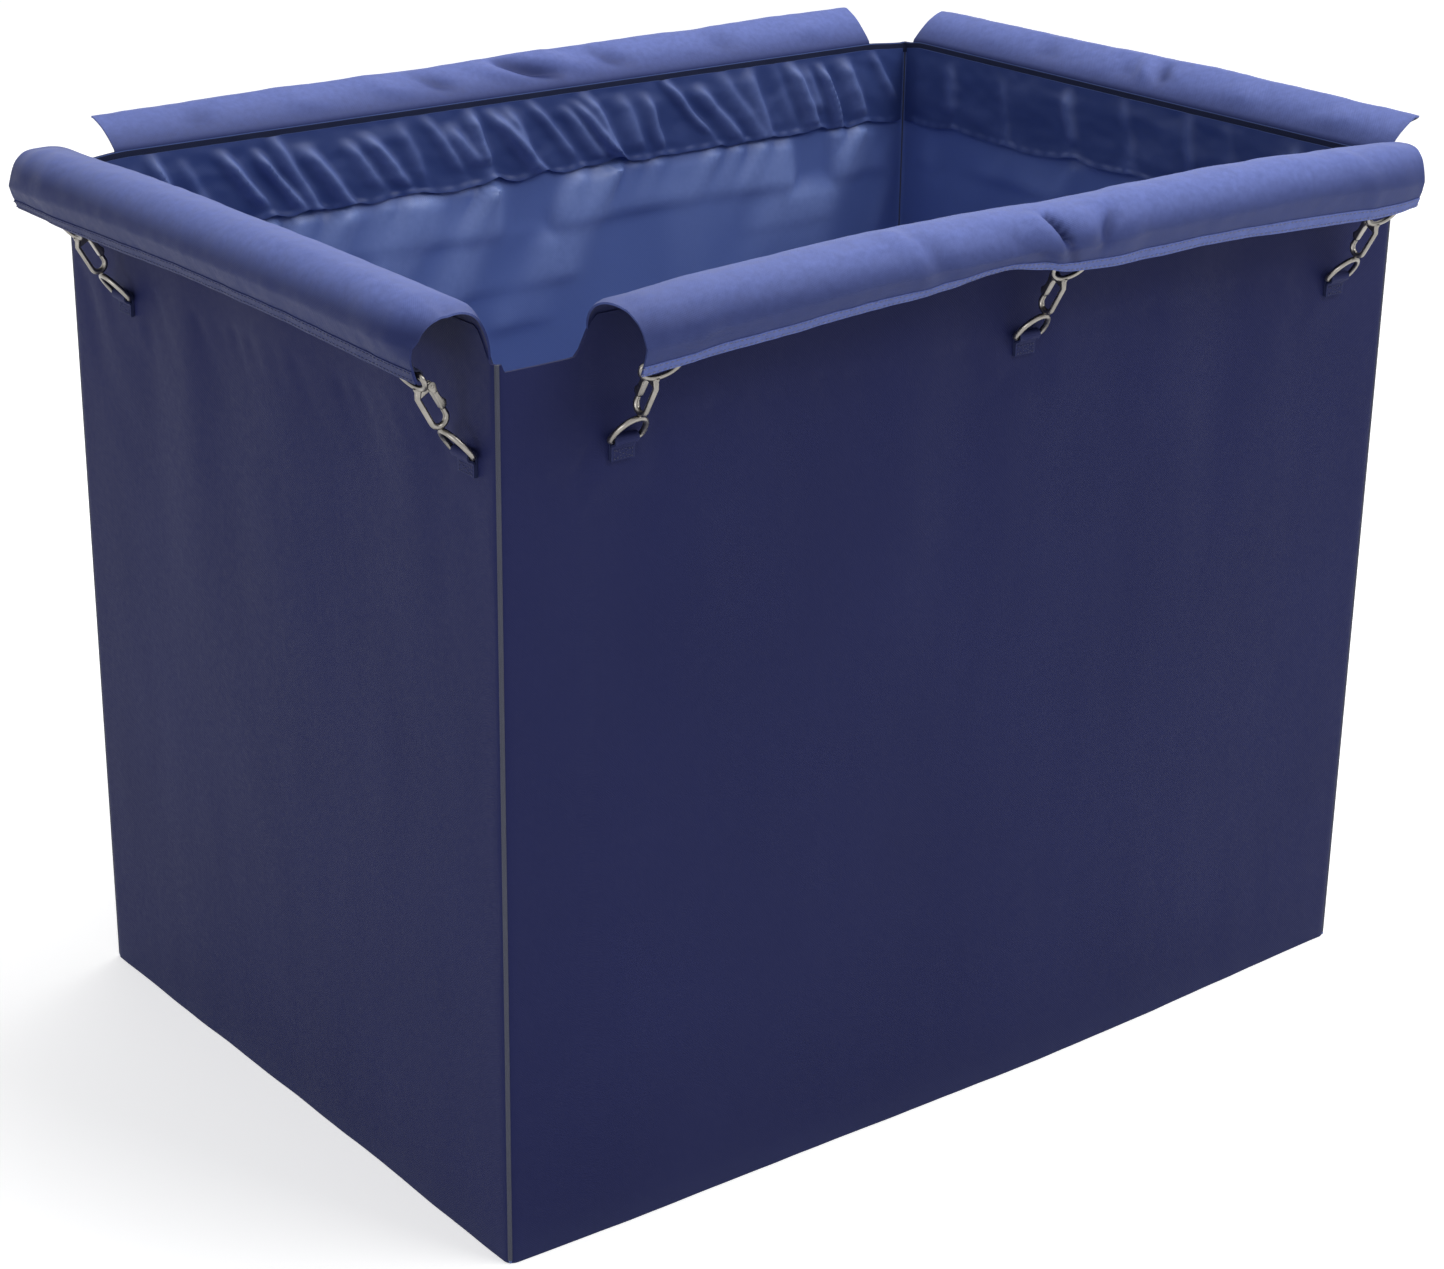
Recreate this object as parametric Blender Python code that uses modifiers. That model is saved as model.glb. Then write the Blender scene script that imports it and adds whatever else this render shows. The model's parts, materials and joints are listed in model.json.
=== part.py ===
"""Open-top laundry cart bag: cloth walls, floor, rolled rim flaps, ten snap hooks and their wall rings."""

import math

import bmesh
import bpy
from mathutils import Matrix, Vector

# Bag body
BAG_LENGTH = 0.800
BAG_WIDTH = 0.550
BAG_HEIGHT = 0.640
CLOTH = 0.0025
GAP = 0.0003
PIPING_RADIUS = 0.0020

# Gathered facing sewn inside the rim, and the tape that covers its top edge
FACING_HEIGHT = 0.066
FACING_CLOTH = 0.0012
FACING_TOP_DROP = 0.0015
PUCKER_PITCH = 0.038
PUCKER_DEPTH = 0.0050
PUCKER_FADE = 0.030
PUCKER_SLANT = 0.030
TAPE_HEIGHT = 0.0090
TAPE_CLOTH = 0.0012
TAPE_TOP_DROP = 0.0010

# Rim flap: it leaves the rim, arches over and hangs down outside
FLAP_CLOTH = 0.0020
FLAP_HINGE_RISE = 0.0014
FLAP_REACH = 0.055
FLAP_CREST_OUT = 0.031
FLAP_CREST_RISE = 0.0225
FLAP_SHOULDER_DROP = 0.025
FLAP_HEM_DROP = 0.0265
HEM_TUCK = 0.0070
HEM_SCALLOP = 0.0120
CREST_WAVE = 0.0025
CREST_WAVE_LENGTH = 0.210
FLAP_COLUMN = 0.030

# Sewn loops that carry the snap hooks and the wall rings
WEBBING = 0.024
RING_WEBBING = 0.018
LOOP_WALL = 0.0014
LOOP_PLAY = 0.0005
FLAP_TAB_LENGTH = 0.018
FLAP_TAB_SINK = 0.0005
EYE_ABOVE_HEM = 0.0015
RING_TAB_LENGTH = 0.014
RING_TAB_CLOTH = 0.0026

# Snap hook: strap eye, spine, bowl and nose
EYE_WIRE = 0.00175
EYE_SPARE = 0.0013
EYE_DEPTH = 0.0135
HOOK_WIRE = 0.0019
HOOK_LENGTH = 0.046
BOWL_RADIUS = 0.0055
SPINE_OUT = 0.0035
NECK_DROP = 0.0190
NOSE_RISE = 0.0035
LUG_WIDTH = 0.0024
PIN_RADIUS = 0.0010
PIN_DROP = 0.0180

# Sprung gate that closes the hook's mouth
GATE_WIDTH = 0.0054
GATE_THICK = 0.0036
GATE_PLAY = 0.00035
GATE_HEAD_RADIUS = 0.0028
THUMB_RISE = 0.0022

# D ring on the wall
RING_WIRE = 0.0020
RING_SPARE = 0.0010
RING_HEIGHT = 0.0225
RING_LEAN = math.radians(40)
CLIP_GAP = 0.0018

# For each side: its turn about Z, the gap from each corner to the flap's end, how far the hem's ends are cut
# back, and each hook's share of the way along the flap and its height above the hem's usual level
SIDES = {
    "front": {"turn": 0, "gaps": (0.067, 0.028), "cut": 0.004, "hooks": ((0.034, 0), (0.511, 0.008), (0.952, 0))},
    "right": {"turn": 90, "gaps": (0.012, 0.012), "cut": 0.028, "hooks": ((0.110, 0), (0.890, 0))},
    "back": {"turn": 180, "gaps": (0.045, 0.045), "cut": 0.028, "hooks": ((0.085, 0), (0.500, 0), (0.915, 0))},
    "left": {"turn": 270, "gaps": (0.016, 0.008), "cut": 0.004, "hooks": ((0.135, 0), (0.959, 0))},
}

# Name: colour, roughness, metallic
FINISHES = {
    "navy_cloth": ((0.028, 0.034, 0.085, 1), 0.55, 0.0),
    "navy_lining": ((0.040, 0.060, 0.170, 1), 0.45, 0.0),
    "flap_cloth": ((0.060, 0.080, 0.200, 1), 0.42, 0.0),
    "grey_piping": ((0.110, 0.115, 0.150, 1), 0.60, 0.0),
    "dark_tape": ((0.012, 0.014, 0.035, 1), 0.70, 0.0),
    "navy_webbing": ((0.022, 0.026, 0.065, 1), 0.75, 0.0),
    "nickel": ((0.600, 0.580, 0.540, 1), 0.28, 1.0),
}

# Turns an outline drawn in X and Y into one standing in Y and Z, with its thickness along X
STANDING = Matrix(((0, 0, 1, 0), (1, 0, 0, 0), (0, 1, 0, 0), (0, 0, 0, 1)))


def clear_scene():
    for obj in list(bpy.data.objects):
        bpy.data.objects.remove(obj, do_unlink=True)


def make_collection(name):
    collection = bpy.data.collections.new(name)
    bpy.context.scene.collection.children.link(collection)
    return collection


def make_finishes():
    made = {}
    for name, (colour, roughness, metallic) in FINISHES.items():
        material = bpy.data.materials.new(name)
        material.use_nodes = True
        shader = material.node_tree.nodes["Principled BSDF"]
        shader.inputs["Base Color"].default_value = colour
        shader.inputs["Roughness"].default_value = roughness
        shader.inputs["Metallic"].default_value = metallic
        material.diffuse_color = colour
        made[name] = material
    return made


def add_empty(name, location, parent=None, turn=(0, 0, 0)):
    empty = bpy.data.objects.new(name, None)
    empty.location = location
    empty.rotation_euler = turn
    empty.parent = parent
    parts.objects.link(empty)
    return empty


def add_part(name, mesh, parent, finish):
    """A named sub-part, placed by its parent's frame."""
    obj = bpy.data.objects.new(name, mesh)
    obj.parent = parent
    if not mesh.materials:
        mesh.materials.append(finishes[finish])
    parts.objects.link(obj)
    return obj


def evaluated_mesh(obj):
    """The object's evaluated mesh, welded, with the object removed."""
    bpy.context.view_layer.update()
    graph = bpy.context.evaluated_depsgraph_get()
    mesh = bpy.data.meshes.new_from_object(obj.evaluated_get(graph))
    edit = bmesh.new()
    edit.from_mesh(mesh)
    bmesh.ops.remove_doubles(edit, verts=edit.verts, dist=1e-6)
    bmesh.ops.recalc_face_normals(edit, faces=edit.faces)
    edit.to_mesh(mesh)
    edit.free()
    bpy.data.objects.remove(obj)
    return mesh


def box_mesh(size, centre):
    edit = bmesh.new()
    bmesh.ops.create_cube(edit, size=1, matrix=Matrix.LocRotScale(centre, None, size))
    mesh = bpy.data.meshes.new("box")
    edit.to_mesh(mesh)
    edit.free()
    return mesh


def curve_object(splines, cyclic, flat):
    curve = bpy.data.curves.new("path", "CURVE")
    curve.dimensions = "2D" if flat else "3D"
    for points in splines:
        spline = curve.splines.new("POLY")
        spline.points.add(len(points) - 1)
        spline.use_cyclic_u = cyclic
        for point, place in zip(spline.points, points):
            point.co = (*Vector(place).to_3d(), 1)
    obj = bpy.data.objects.new("path", curve)
    cutters.objects.link(obj)
    return obj


def tube_mesh(points, radius, cyclic=False, resolution=1):
    obj = curve_object([points], cyclic, flat=False)
    obj.data.bevel_depth = radius
    obj.data.bevel_resolution = resolution
    obj.data.use_fill_caps = not cyclic
    return evaluated_mesh(obj)


def standing_mesh(outlines, width):
    """Flat outlines in (y, z), the first one outside and any others holes, with a width along X."""
    obj = curve_object(outlines, True, flat=True)
    obj.data.fill_mode = "BOTH"
    obj.data.extrude = width / 2
    mesh = evaluated_mesh(obj)
    mesh.transform(STANDING)
    return mesh


def hidden_tool(mesh, parent=None):
    """A mesh that only takes part in a join or a cut."""
    obj = bpy.data.objects.new("tool", mesh)
    obj.parent = parent
    obj.hide_render = True
    obj.display_type = "WIRE"
    cutters.objects.link(obj)
    return obj


def join_or_cut(obj, operation, tool):
    modifier = obj.modifiers.new(operation.lower(), "BOOLEAN")
    modifier.operation = operation
    modifier.solver = "EXACT"
    modifier.object = tool


def combined_mesh(base, joined=(), cut=()):
    """One solid from a base mesh, with other meshes joined to it or cut from it."""
    obj = hidden_tool(base)
    tools = [hidden_tool(mesh) for mesh in (*joined, *cut)]
    for index, tool in enumerate(tools):
        join_or_cut(obj, "UNION" if index < len(joined) else "DIFFERENCE", tool)
    mesh = evaluated_mesh(obj)
    for tool in tools:
        bpy.data.objects.remove(tool)
    return mesh


def smooth(mesh, degrees=40):
    mesh.shade_smooth()
    mesh.set_sharp_from_angle(angle=math.radians(degrees))
    return mesh


def arc(centre, radius, start, end, steps):
    """Points on a circle in (y, z), angles in degrees from +y towards +z."""
    angles = [math.radians(start + (end - start) * step / steps) for step in range(steps + 1)]
    return [(centre[0] + radius * math.cos(a), centre[1] + radius * math.sin(a)) for a in angles]


def sheet_part(name, columns, rows, place, thickness, parent, finish):
    """A cloth sheet: a grid whose points place(u, v) sets, given its thickness."""
    edit = bmesh.new()
    bmesh.ops.create_grid(edit, x_segments=columns, y_segments=rows, size=0.5)
    for vert in edit.verts:
        vert.co = place(vert.co.x + 0.5, vert.co.y + 0.5)
    mesh = bpy.data.meshes.new(name)
    edit.to_mesh(mesh)
    edit.free()
    mesh.shade_smooth()
    obj = add_part(name, mesh, parent, finish)
    solidify = obj.modifiers.new("cloth", "SOLIDIFY")
    solidify.thickness = thickness
    solidify.offset = 0
    solidify.use_even_offset = True
    return obj


def side_span(side):
    return BAG_LENGTH if SIDES[side]["turn"] % 180 == 0 else BAG_WIDTH


def side_depth(side):
    return (BAG_WIDTH if SIDES[side]["turn"] % 180 == 0 else BAG_LENGTH) / 2


def flap_ends(side):
    first, last = SIDES[side]["gaps"]
    return first - side_span(side) / 2, side_span(side) / 2 - last


def hook_stations(side):
    """Each hook's place along its side, and the hem's level there, seen from the flap's hinge."""
    start, end = flap_ends(side)
    return [(start + (end - start) * share, lift - FLAP_HEM_DROP) for share, lift in SIDES[side]["hooks"]]


def add_bag():
    corner = 2 * PIPING_RADIUS + GAP
    for side in SIDES:
        size = (side_span(side) - 2 * corner, CLOTH, BAG_HEIGHT)
        centre = (0, CLOTH / 2 - side_depth(side), BAG_HEIGHT / 2)
        add_part(f"{side}_wall", box_mesh(size, centre), frames[side], "navy_cloth")
    inset = 2 * (CLOTH + GAP)
    size = (BAG_LENGTH - inset, BAG_WIDTH - inset, CLOTH)
    add_part("floor_panel", box_mesh(size, (0, 0, CLOTH / 2)), None, "navy_cloth")
    for end in ("front", "back"):
        for hand in ("left", "right"):
            x = (BAG_LENGTH / 2 - PIPING_RADIUS) * (1 if hand == "right" else -1)
            y = (BAG_WIDTH / 2 - PIPING_RADIUS) * (1 if end == "back" else -1)
            mesh = tube_mesh([(x, y, CLOTH + GAP), (x, y, BAG_HEIGHT)], PIPING_RADIUS, resolution=2)
            add_part(f"{end}_{hand}_piping", smooth(mesh), None, "grey_piping")


def add_rim_tape():
    inset = CLOTH + FACING_CLOTH + 2 * GAP
    outlines = []
    for edge in (inset, inset + TAPE_CLOTH):
        x = BAG_LENGTH / 2 - edge
        y = BAG_WIDTH / 2 - edge
        outlines.append([(-x, -y), (x, -y), (x, y), (-x, y)])
    obj = curve_object(outlines, True, flat=True)
    obj.data.fill_mode = "BOTH"
    obj.data.extrude = TAPE_HEIGHT / 2
    mesh = evaluated_mesh(obj)
    mesh.transform(Matrix.Translation((0, 0, BAG_HEIGHT - TAPE_TOP_DROP - TAPE_HEIGHT / 2)))
    add_part("rim_tape", mesh, None, "dark_tape")


def add_facing(side):
    half = side_span(side) / 2 - 2 * PIPING_RADIUS - GAP
    puckers = round(2 * half / PUCKER_PITCH)
    flat_height = TAPE_HEIGHT + TAPE_TOP_DROP + 2 * GAP
    rows = (FACING_TOP_DROP, flat_height, 0.45 * FACING_HEIGHT, 0.80 * FACING_HEIGHT, FACING_HEIGHT)
    depths = (0, 0, 1, 0.85, 0.45)

    def place(u, v):
        along = half * (2 * u - 1)
        row = round(v * (len(rows) - 1))
        fade = min(1, (half - abs(along)) / PUCKER_FADE)
        slant = PUCKER_SLANT * rows[row] / FACING_HEIGHT
        turn = 2 * math.pi * puckers * (along + slant) / (2 * half)
        wave = (0.5 - 0.5 * math.cos(turn)) * depths[row]
        depth = CLOTH + GAP + FACING_CLOTH / 2 + PUCKER_DEPTH * fade * wave
        return along, depth - side_depth(side), BAG_HEIGHT - rows[row]

    sheet_part(f"{side}_facing", 4 * puckers, len(rows) - 1, place, FACING_CLOTH, frames[side], "navy_lining")


def crest_rise(along):
    return FLAP_CREST_RISE - CREST_WAVE * math.sin(math.pi * along / CREST_WAVE_LENGTH) ** 2


def hem_rise(along, stations):
    """The hem is lowest at the hooks and lifts between them."""
    if along <= stations[0][0]:
        return stations[0][1]
    for (first, low), (last, high) in zip(stations, stations[1:]):
        if along < last:
            share = (along - first) / (last - first)
            return low + (high - low) * share + HEM_SCALLOP * math.sin(math.pi * share) ** 2
    return stations[-1][1]


def flap_section(v, crest, hem):
    """Outward and upward place on the flap's middle line, from the rim at v = 0 to the hem at v = 1."""
    if v < 0.4:
        angle = math.pi / 2 * v / 0.4
        return FLAP_CREST_OUT * (1 - math.cos(angle)), crest * math.sin(angle)
    shoulder = crest - FLAP_SHOULDER_DROP
    if v < 0.8:
        angle = math.pi / 2 * (v - 0.4) / 0.4
        out = FLAP_CREST_OUT + (FLAP_REACH - FLAP_CREST_OUT) * math.sin(angle)
        return out, shoulder + FLAP_SHOULDER_DROP * math.cos(angle)
    share = (v - 0.8) / 0.2
    return FLAP_REACH - HEM_TUCK * share, shoulder + (hem - shoulder) * share


def eye_axis(station):
    """Outward and upward place of the strap eye's bar, seen from the flap's hinge, and the hem's lean."""
    along, hem = station
    lean = math.atan2(HEM_TUCK, crest_rise(along) - FLAP_SHOULDER_DROP - hem)
    inset = FLAP_CLOTH / 2 + LOOP_WALL + LOOP_PLAY + EYE_WIRE
    out = FLAP_REACH - HEM_TUCK + EYE_ABOVE_HEM * math.sin(lean) - inset * math.cos(lean)
    rise = hem + EYE_ABOVE_HEM * math.cos(lean) + inset * math.sin(lean)
    return out, rise, lean


def flap_tab_mesh(station):
    """Webbing loop round the strap eye's bar, sewn to the flap's inner face above the hem."""
    out, rise, lean = eye_axis(station)
    bore = EYE_WIRE + LOOP_PLAY
    outer = bore + LOOP_WALL
    back = -outer - FLAP_TAB_SINK
    front = LOOP_WALL - outer
    start = math.degrees(math.atan2(math.sqrt(outer**2 - front**2), front))
    loop = arc((0, 0), outer, start, -90, 6)
    outline = [(back, FLAP_TAB_LENGTH), (front, FLAP_TAB_LENGTH), *loop, (back, -EYE_ABOVE_HEM)]
    mesh = standing_mesh([outline, arc((0, 0), bore, 0, 330, 11)], WEBBING)
    mesh.transform(Matrix.Translation((station[0], -out, rise)) @ Matrix.Rotation(lean, 4, "X"))
    return mesh


def add_flap(side):
    start, end = flap_ends(side)
    stations = hook_stations(side)
    place_hinge = (0, CLOTH / 2 - side_depth(side), BAG_HEIGHT + FLAP_HINGE_RISE)
    hinge = add_empty(f"{side}_flap_hinge", place_hinge, frames[side])

    def place(u, v):
        cut = SIDES[side]["cut"] * max(0, v - 0.4) / 0.6
        along = start + cut + (end - start - 2 * cut) * u
        out, rise = flap_section(v, crest_rise(along), hem_rise(along, stations))
        return along, -out, rise

    columns = round((end - start) / FLAP_COLUMN)
    flap = sheet_part(f"{side}_flap", columns, 10, place, FLAP_CLOTH, hinge, "flap_cloth")
    for station in stations:
        join_or_cut(flap, "UNION", hidden_tool(flap_tab_mesh(station), hinge))
    return hinge


def eye_loop():
    """Middle line of the strap eye: a straight bar, and a round end that meets the neck."""
    half = WEBBING / 2 + EYE_SPARE + EYE_WIRE
    angles = [math.pi * step / 10 for step in range(11)]
    return [(half * math.cos(angle), 0, -EYE_DEPTH * math.sin(angle)) for angle in angles]


def bowl_centre():
    return BOWL_RADIUS - SPINE_OUT, HOOK_WIRE + BOWL_RADIUS - HOOK_LENGTH


def nose_line():
    return 2 * BOWL_RADIUS - SPINE_OUT


def hook_mesh():
    """Cast hook: strap eye, spine, bowl, nose, and the lug with the gate's pin."""
    centre = bowl_centre()
    bowl = arc(centre, BOWL_RADIUS, 180, 360, 6)
    spine = [(0, -EYE_DEPTH), (0, -EYE_DEPTH - HOOK_WIRE), (-SPINE_OUT, -NECK_DROP), *bowl]
    spine.append((nose_line(), centre[1] + NOSE_RISE))
    eye = tube_mesh(eye_loop(), EYE_WIRE, cyclic=True)
    shank = tube_mesh([(0, *point) for point in spine], HOOK_WIRE)
    head = arc((nose_line(), -PIN_DROP), GATE_HEAD_RADIUS - GATE_PLAY, -90, 90, 4)
    lug_outline = [(-SPINE_OUT, -PIN_DROP - GATE_HEAD_RADIUS), *head, (0, -EYE_DEPTH - HOOK_WIRE / 2)]
    lug = standing_mesh([lug_outline], LUG_WIDTH)
    pin = standing_mesh([arc((nose_line(), -PIN_DROP), PIN_RADIUS, 0, 315, 7)], GATE_WIDTH)
    return smooth(combined_mesh(eye, joined=(shank, lug, pin)))


def gate_mesh():
    """Gate drawn about its pin: a slotted head, a bar down to the nose and a thumb rest."""
    foot = bowl_centre()[1] + NOSE_RISE + PIN_DROP + GATE_PLAY
    half = GATE_THICK / 2
    head = arc((0, 0), GATE_HEAD_RADIUS, -40, 220, 8)
    thumb = [(half, foot * 0.45), (half + THUMB_RISE, foot * 0.72), (half, foot)]
    body = standing_mesh([[*thumb, (-half, foot), *reversed(head)][::-1]], GATE_WIDTH)
    slot_drop = GATE_HEAD_RADIUS + 2 * GATE_PLAY
    slot_size = (LUG_WIDTH + 2 * GATE_PLAY, 4 * GATE_HEAD_RADIUS, slot_drop + 2 * GATE_HEAD_RADIUS)
    slot = box_mesh(slot_size, (0, 0, GATE_HEAD_RADIUS - slot_drop / 2))
    bore = standing_mesh([arc((0, 0), PIN_RADIUS + GATE_PLAY, 0, 324, 9)], 2 * GATE_WIDTH)
    return smooth(combined_mesh(body, cut=(slot, bore)))


def ring_mesh():
    """D ring about its straight bar, with its round end upward."""
    half = RING_WEBBING / 2 + RING_SPARE + RING_WIRE
    top = RING_HEIGHT - RING_WIRE
    round_end = [(half * math.cos(a), 0, top * math.sin(a)) for a in [math.pi * i / 12 for i in range(13)]]
    return smooth(tube_mesh(round_end, RING_WIRE, cyclic=True))


def ring_standoff():
    return GAP + LOOP_WALL + LOOP_PLAY + RING_WIRE


def ring_tab_mesh():
    """Webbing tab about the ring's bar: a loop round the bar and a flat end sewn to the wall below it."""
    bore = RING_WIRE + LOOP_PLAY
    outer = bore + LOOP_WALL
    wall = ring_standoff() - GAP
    foot = wall - RING_TAB_CLOTH
    drop = math.sqrt(outer**2 - foot**2)
    start = math.degrees(math.atan2(-drop, foot))
    loop = arc((0, 0), outer, start, -360, 9)
    outline = [(foot, -RING_TAB_LENGTH), *loop, (wall, -RING_TAB_LENGTH)]
    return standing_mesh([outline, arc((0, 0), bore, 0, 330, 11)], RING_WEBBING)


def clip_line(station):
    """The hook's lean, and the ring bar's place seen from the flap's hinge."""
    out, rise, _ = eye_axis(station)
    reach = RING_HEIGHT + CLIP_GAP
    bar_out = ring_standoff() + CLOTH / 2
    hook_lean = math.asin((out - bar_out - reach * math.sin(RING_LEAN)) / HOOK_LENGTH)
    bar_rise = rise - HOOK_LENGTH * math.cos(hook_lean) - reach * math.cos(RING_LEAN)
    return hook_lean, bar_out, bar_rise


def add_clips(side, hinge, meshes):
    """Each hook hangs from the flap's loop and leans in to its ring on the wall."""
    for number, station in enumerate(hook_stations(side), 1):
        tag = f"{side}_{number}"
        out, rise, _ = eye_axis(station)
        hook_lean, bar_out, bar_rise = clip_line(station)
        swing = add_empty(f"hook_swing_{tag}", (station[0], -out, rise), hinge, (hook_lean, 0, 0))
        pivot = add_empty(f"gate_pivot_{tag}", (0, nose_line(), -PIN_DROP), swing)
        add_part(f"snap_hook_{tag}", meshes["hook"], swing, "nickel")
        add_part(f"hook_gate_{tag}", meshes["gate"], pivot, "nickel")
        place_bar = Vector((station[0], -bar_out, bar_rise)) + hinge.location
        bar = add_empty(f"ring_bar_{tag}", place_bar, frames[side])
        ring = add_part(f"wall_ring_{tag}", meshes["ring"], bar, "nickel")
        ring.rotation_euler = (RING_LEAN, 0, 0)
        add_part(f"ring_tab_{tag}", meshes["tab"], bar, "navy_webbing")


clear_scene()
parts = make_collection("laundry_cart_bag")
cutters = make_collection("cutters")
finishes = make_finishes()
frames = {
    side: add_empty(f"{side}_side", (0, 0, 0), turn=(0, 0, math.radians(values["turn"])))
    for side, values in SIDES.items()
}
clip_meshes = {"hook": hook_mesh(), "gate": gate_mesh(), "ring": ring_mesh(), "tab": ring_tab_mesh()}
add_bag()
add_rim_tape()
for side_name in SIDES:
    add_facing(side_name)
    flap_hinge = add_flap(side_name)
    add_clips(side_name, flap_hinge, clip_meshes)
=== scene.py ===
import json
import random
from math import acos, atan2, copysign, cos, dist, exp, pi, radians, sin

import bpy
from mathutils import Matrix, Vector, noise


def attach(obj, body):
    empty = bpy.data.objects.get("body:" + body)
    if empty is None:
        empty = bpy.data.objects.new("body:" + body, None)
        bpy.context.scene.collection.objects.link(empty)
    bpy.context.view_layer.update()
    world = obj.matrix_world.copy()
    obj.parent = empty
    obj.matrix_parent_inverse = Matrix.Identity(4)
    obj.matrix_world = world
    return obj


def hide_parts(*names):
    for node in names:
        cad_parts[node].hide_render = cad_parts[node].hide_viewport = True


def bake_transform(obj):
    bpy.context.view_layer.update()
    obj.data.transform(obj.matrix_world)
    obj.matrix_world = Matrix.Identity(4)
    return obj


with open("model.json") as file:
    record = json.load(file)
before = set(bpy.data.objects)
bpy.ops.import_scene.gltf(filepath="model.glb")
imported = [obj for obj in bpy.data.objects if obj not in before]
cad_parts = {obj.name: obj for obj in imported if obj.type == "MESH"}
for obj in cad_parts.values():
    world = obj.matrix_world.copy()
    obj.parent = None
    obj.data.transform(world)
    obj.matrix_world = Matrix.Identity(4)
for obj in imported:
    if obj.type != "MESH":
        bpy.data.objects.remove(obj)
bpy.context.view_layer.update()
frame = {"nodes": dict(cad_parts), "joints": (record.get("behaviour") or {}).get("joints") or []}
jointSpots = {joint["name"]: Vector(joint["pos_m"]) for joint in frame["joints"] if "pos_m" in joint}
print("frame loaded:", len(frame["nodes"]), "nodes")

# the bag's own sizes, in metres
bag = {"length": 0.800, "width": 0.550, "height": 0.640, "cloth": 0.0020, "cornerRadius": 0.0065}
turns = {"front": 0, "right": 90, "back": 180, "left": 270}
hookCounts = {"front": 3, "right": 2, "back": 3, "left": 2}
girth = 2 * (bag["length"] + bag["width"])
smoothAngle = radians(50)  # cloth and wire are shaded smooth up to this bend
mergeGap = 0.00001


# small tools

def deselectAll():
    if bpy.context.object and bpy.context.object.mode != "OBJECT":
        bpy.ops.object.mode_set(mode="OBJECT")
    bpy.ops.object.select_all(action="DESELECT")


def pickOnly(piece):
    deselectAll()
    piece.select_set(True)
    bpy.context.view_layer.objects.active = piece


def applyModifiers(piece):
    pickOnly(piece)
    for modifier in list(piece.modifiers):
        bpy.ops.object.modifier_apply(modifier=modifier.name)


def nameIt(piece, name):
    piece.name = name
    piece.data.name = name


def editAll(piece, *steps):
    # runs edit-mode operators over the whole of a piece
    pickOnly(piece)
    bpy.ops.object.mode_set(mode="EDIT")
    bpy.ops.mesh.select_all(action="SELECT")
    for step in steps:
        step()
    bpy.ops.object.mode_set(mode="OBJECT")


def mergePoints():
    bpy.ops.mesh.remove_doubles(threshold=mergeGap)


def joinPieces(pieces, name):
    pickOnly(pieces[0])
    for piece in pieces:
        piece.select_set(True)
    bpy.ops.object.join()
    joined = bpy.context.object
    nameIt(joined, name)
    return joined


def smoothStep(value):
    value = min(1.0, max(0.0, value))
    return value * value * (3 - 2 * value)


def ripple(x, y, seed):
    return noise.noise(Vector((x, y, seed)))


def alongStops(stops, at):
    # a smooth line through (place, value) pairs, with no rise or dip beyond them
    if at <= stops[0][0]:
        return stops[0][1]
    grades = [(high - low) / (b - a) for (a, low), (b, high) in zip(stops, stops[1:])]
    slopes = [0.0]
    for before, after in zip(grades, grades[1:]):
        slopes.append(2 * before * after / (before + after) if before * after > 0 else 0.0)
    slopes.append(0.0)
    for index, ((a, low), (b, high)) in enumerate(zip(stops, stops[1:])):
        if at <= b:
            t = (at - a) / (b - a)
            curve = low + (high - low) * t * t * (3 - 2 * t)
            return curve + (b - a) * t * (1 - t) * ((1 - t) * slopes[index] - t * slopes[index + 1])
    return stops[-1][1]


def sideSpan(side):
    return bag["length"] if side in ("front", "back") else bag["width"]


def sideDepth(side):
    return (bag["width"] if side in ("front", "back") else bag["length"]) / 2


def sideTurn(side):
    return Matrix.Rotation(radians(turns[side]), 4, "Z")


def sidePoint(side, along, out, up):
    return sideTurn(side) @ Vector((along, -sideDepth(side) - out, up))


toSide = {side: sideTurn(side).inverted() for side in turns}


def jointsOf(kind, motion):
    # the places of one kind of joint, in each side's own frame
    spots = {}
    for side, count in hookCounts.items():
        names = [f"{kind}_{side}_{number}_{motion}" for number in range(1, count + 1)]
        spots[side] = [toSide[side] @ jointSpots[name] for name in names]
    return spots


def clothGrid(name, columns, rows, place, size, rowAt=float):
    # a flat grid, laid over a shape point by point, with its UV map in metres; rowAt spaces its rows
    deselectAll()
    bpy.ops.mesh.primitive_grid_add(x_subdivisions=columns, y_subdivisions=rows, size=1)
    piece = bpy.context.object
    nameIt(piece, name)
    for vert in piece.data.vertices:
        vert.co = place(vert.co.x + 0.5, rowAt(vert.co.y + 0.5))
    for corner in piece.data.uv_layers.active.data:
        corner.uv = (corner.uv[0] * size[0], rowAt(corner.uv[1]) * size[1])
    return piece


def faceTowards(piece, direction):
    # turns an open sheet round where most of it faces the wrong way
    total = sum(face.normal.dot(direction(face.center)) * face.area for face in piece.data.polygons)
    if total < 0:
        editAll(piece, bpy.ops.mesh.flip_normals)


def thicken(piece, thickness, offset=0.0, materialStep=0):
    solidify = piece.modifiers.new("cloth", "SOLIDIFY")
    solidify.thickness = thickness
    solidify.offset = offset
    solidify.use_even_offset = True
    solidify.material_offset = materialStep
    applyModifiers(piece)
    pickOnly(piece)
    bpy.ops.object.shade_smooth_by_angle(angle=smoothAngle)


def dress(piece, *names):
    piece.data.materials.clear()
    for name in names:
        piece.data.materials.append(materials[name])


def sew(piece, cloths, thickness, offset, wearAndPaintedLight, towards=None):
    # gives a sheet its cloths, its thickness, and its rubbed places and painted highlights
    if towards:
        faceTowards(piece, towards)
    dress(piece, *cloths)
    thicken(piece, thickness, offset, len(cloths) - 1)
    paintWearAndLight(piece, wearAndPaintedLight)


def outwards(centre):
    return Vector((centre.x, centre.y, 0))


def inwards(centre):
    return Vector((-centre.x, -centre.y, 0))


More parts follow.
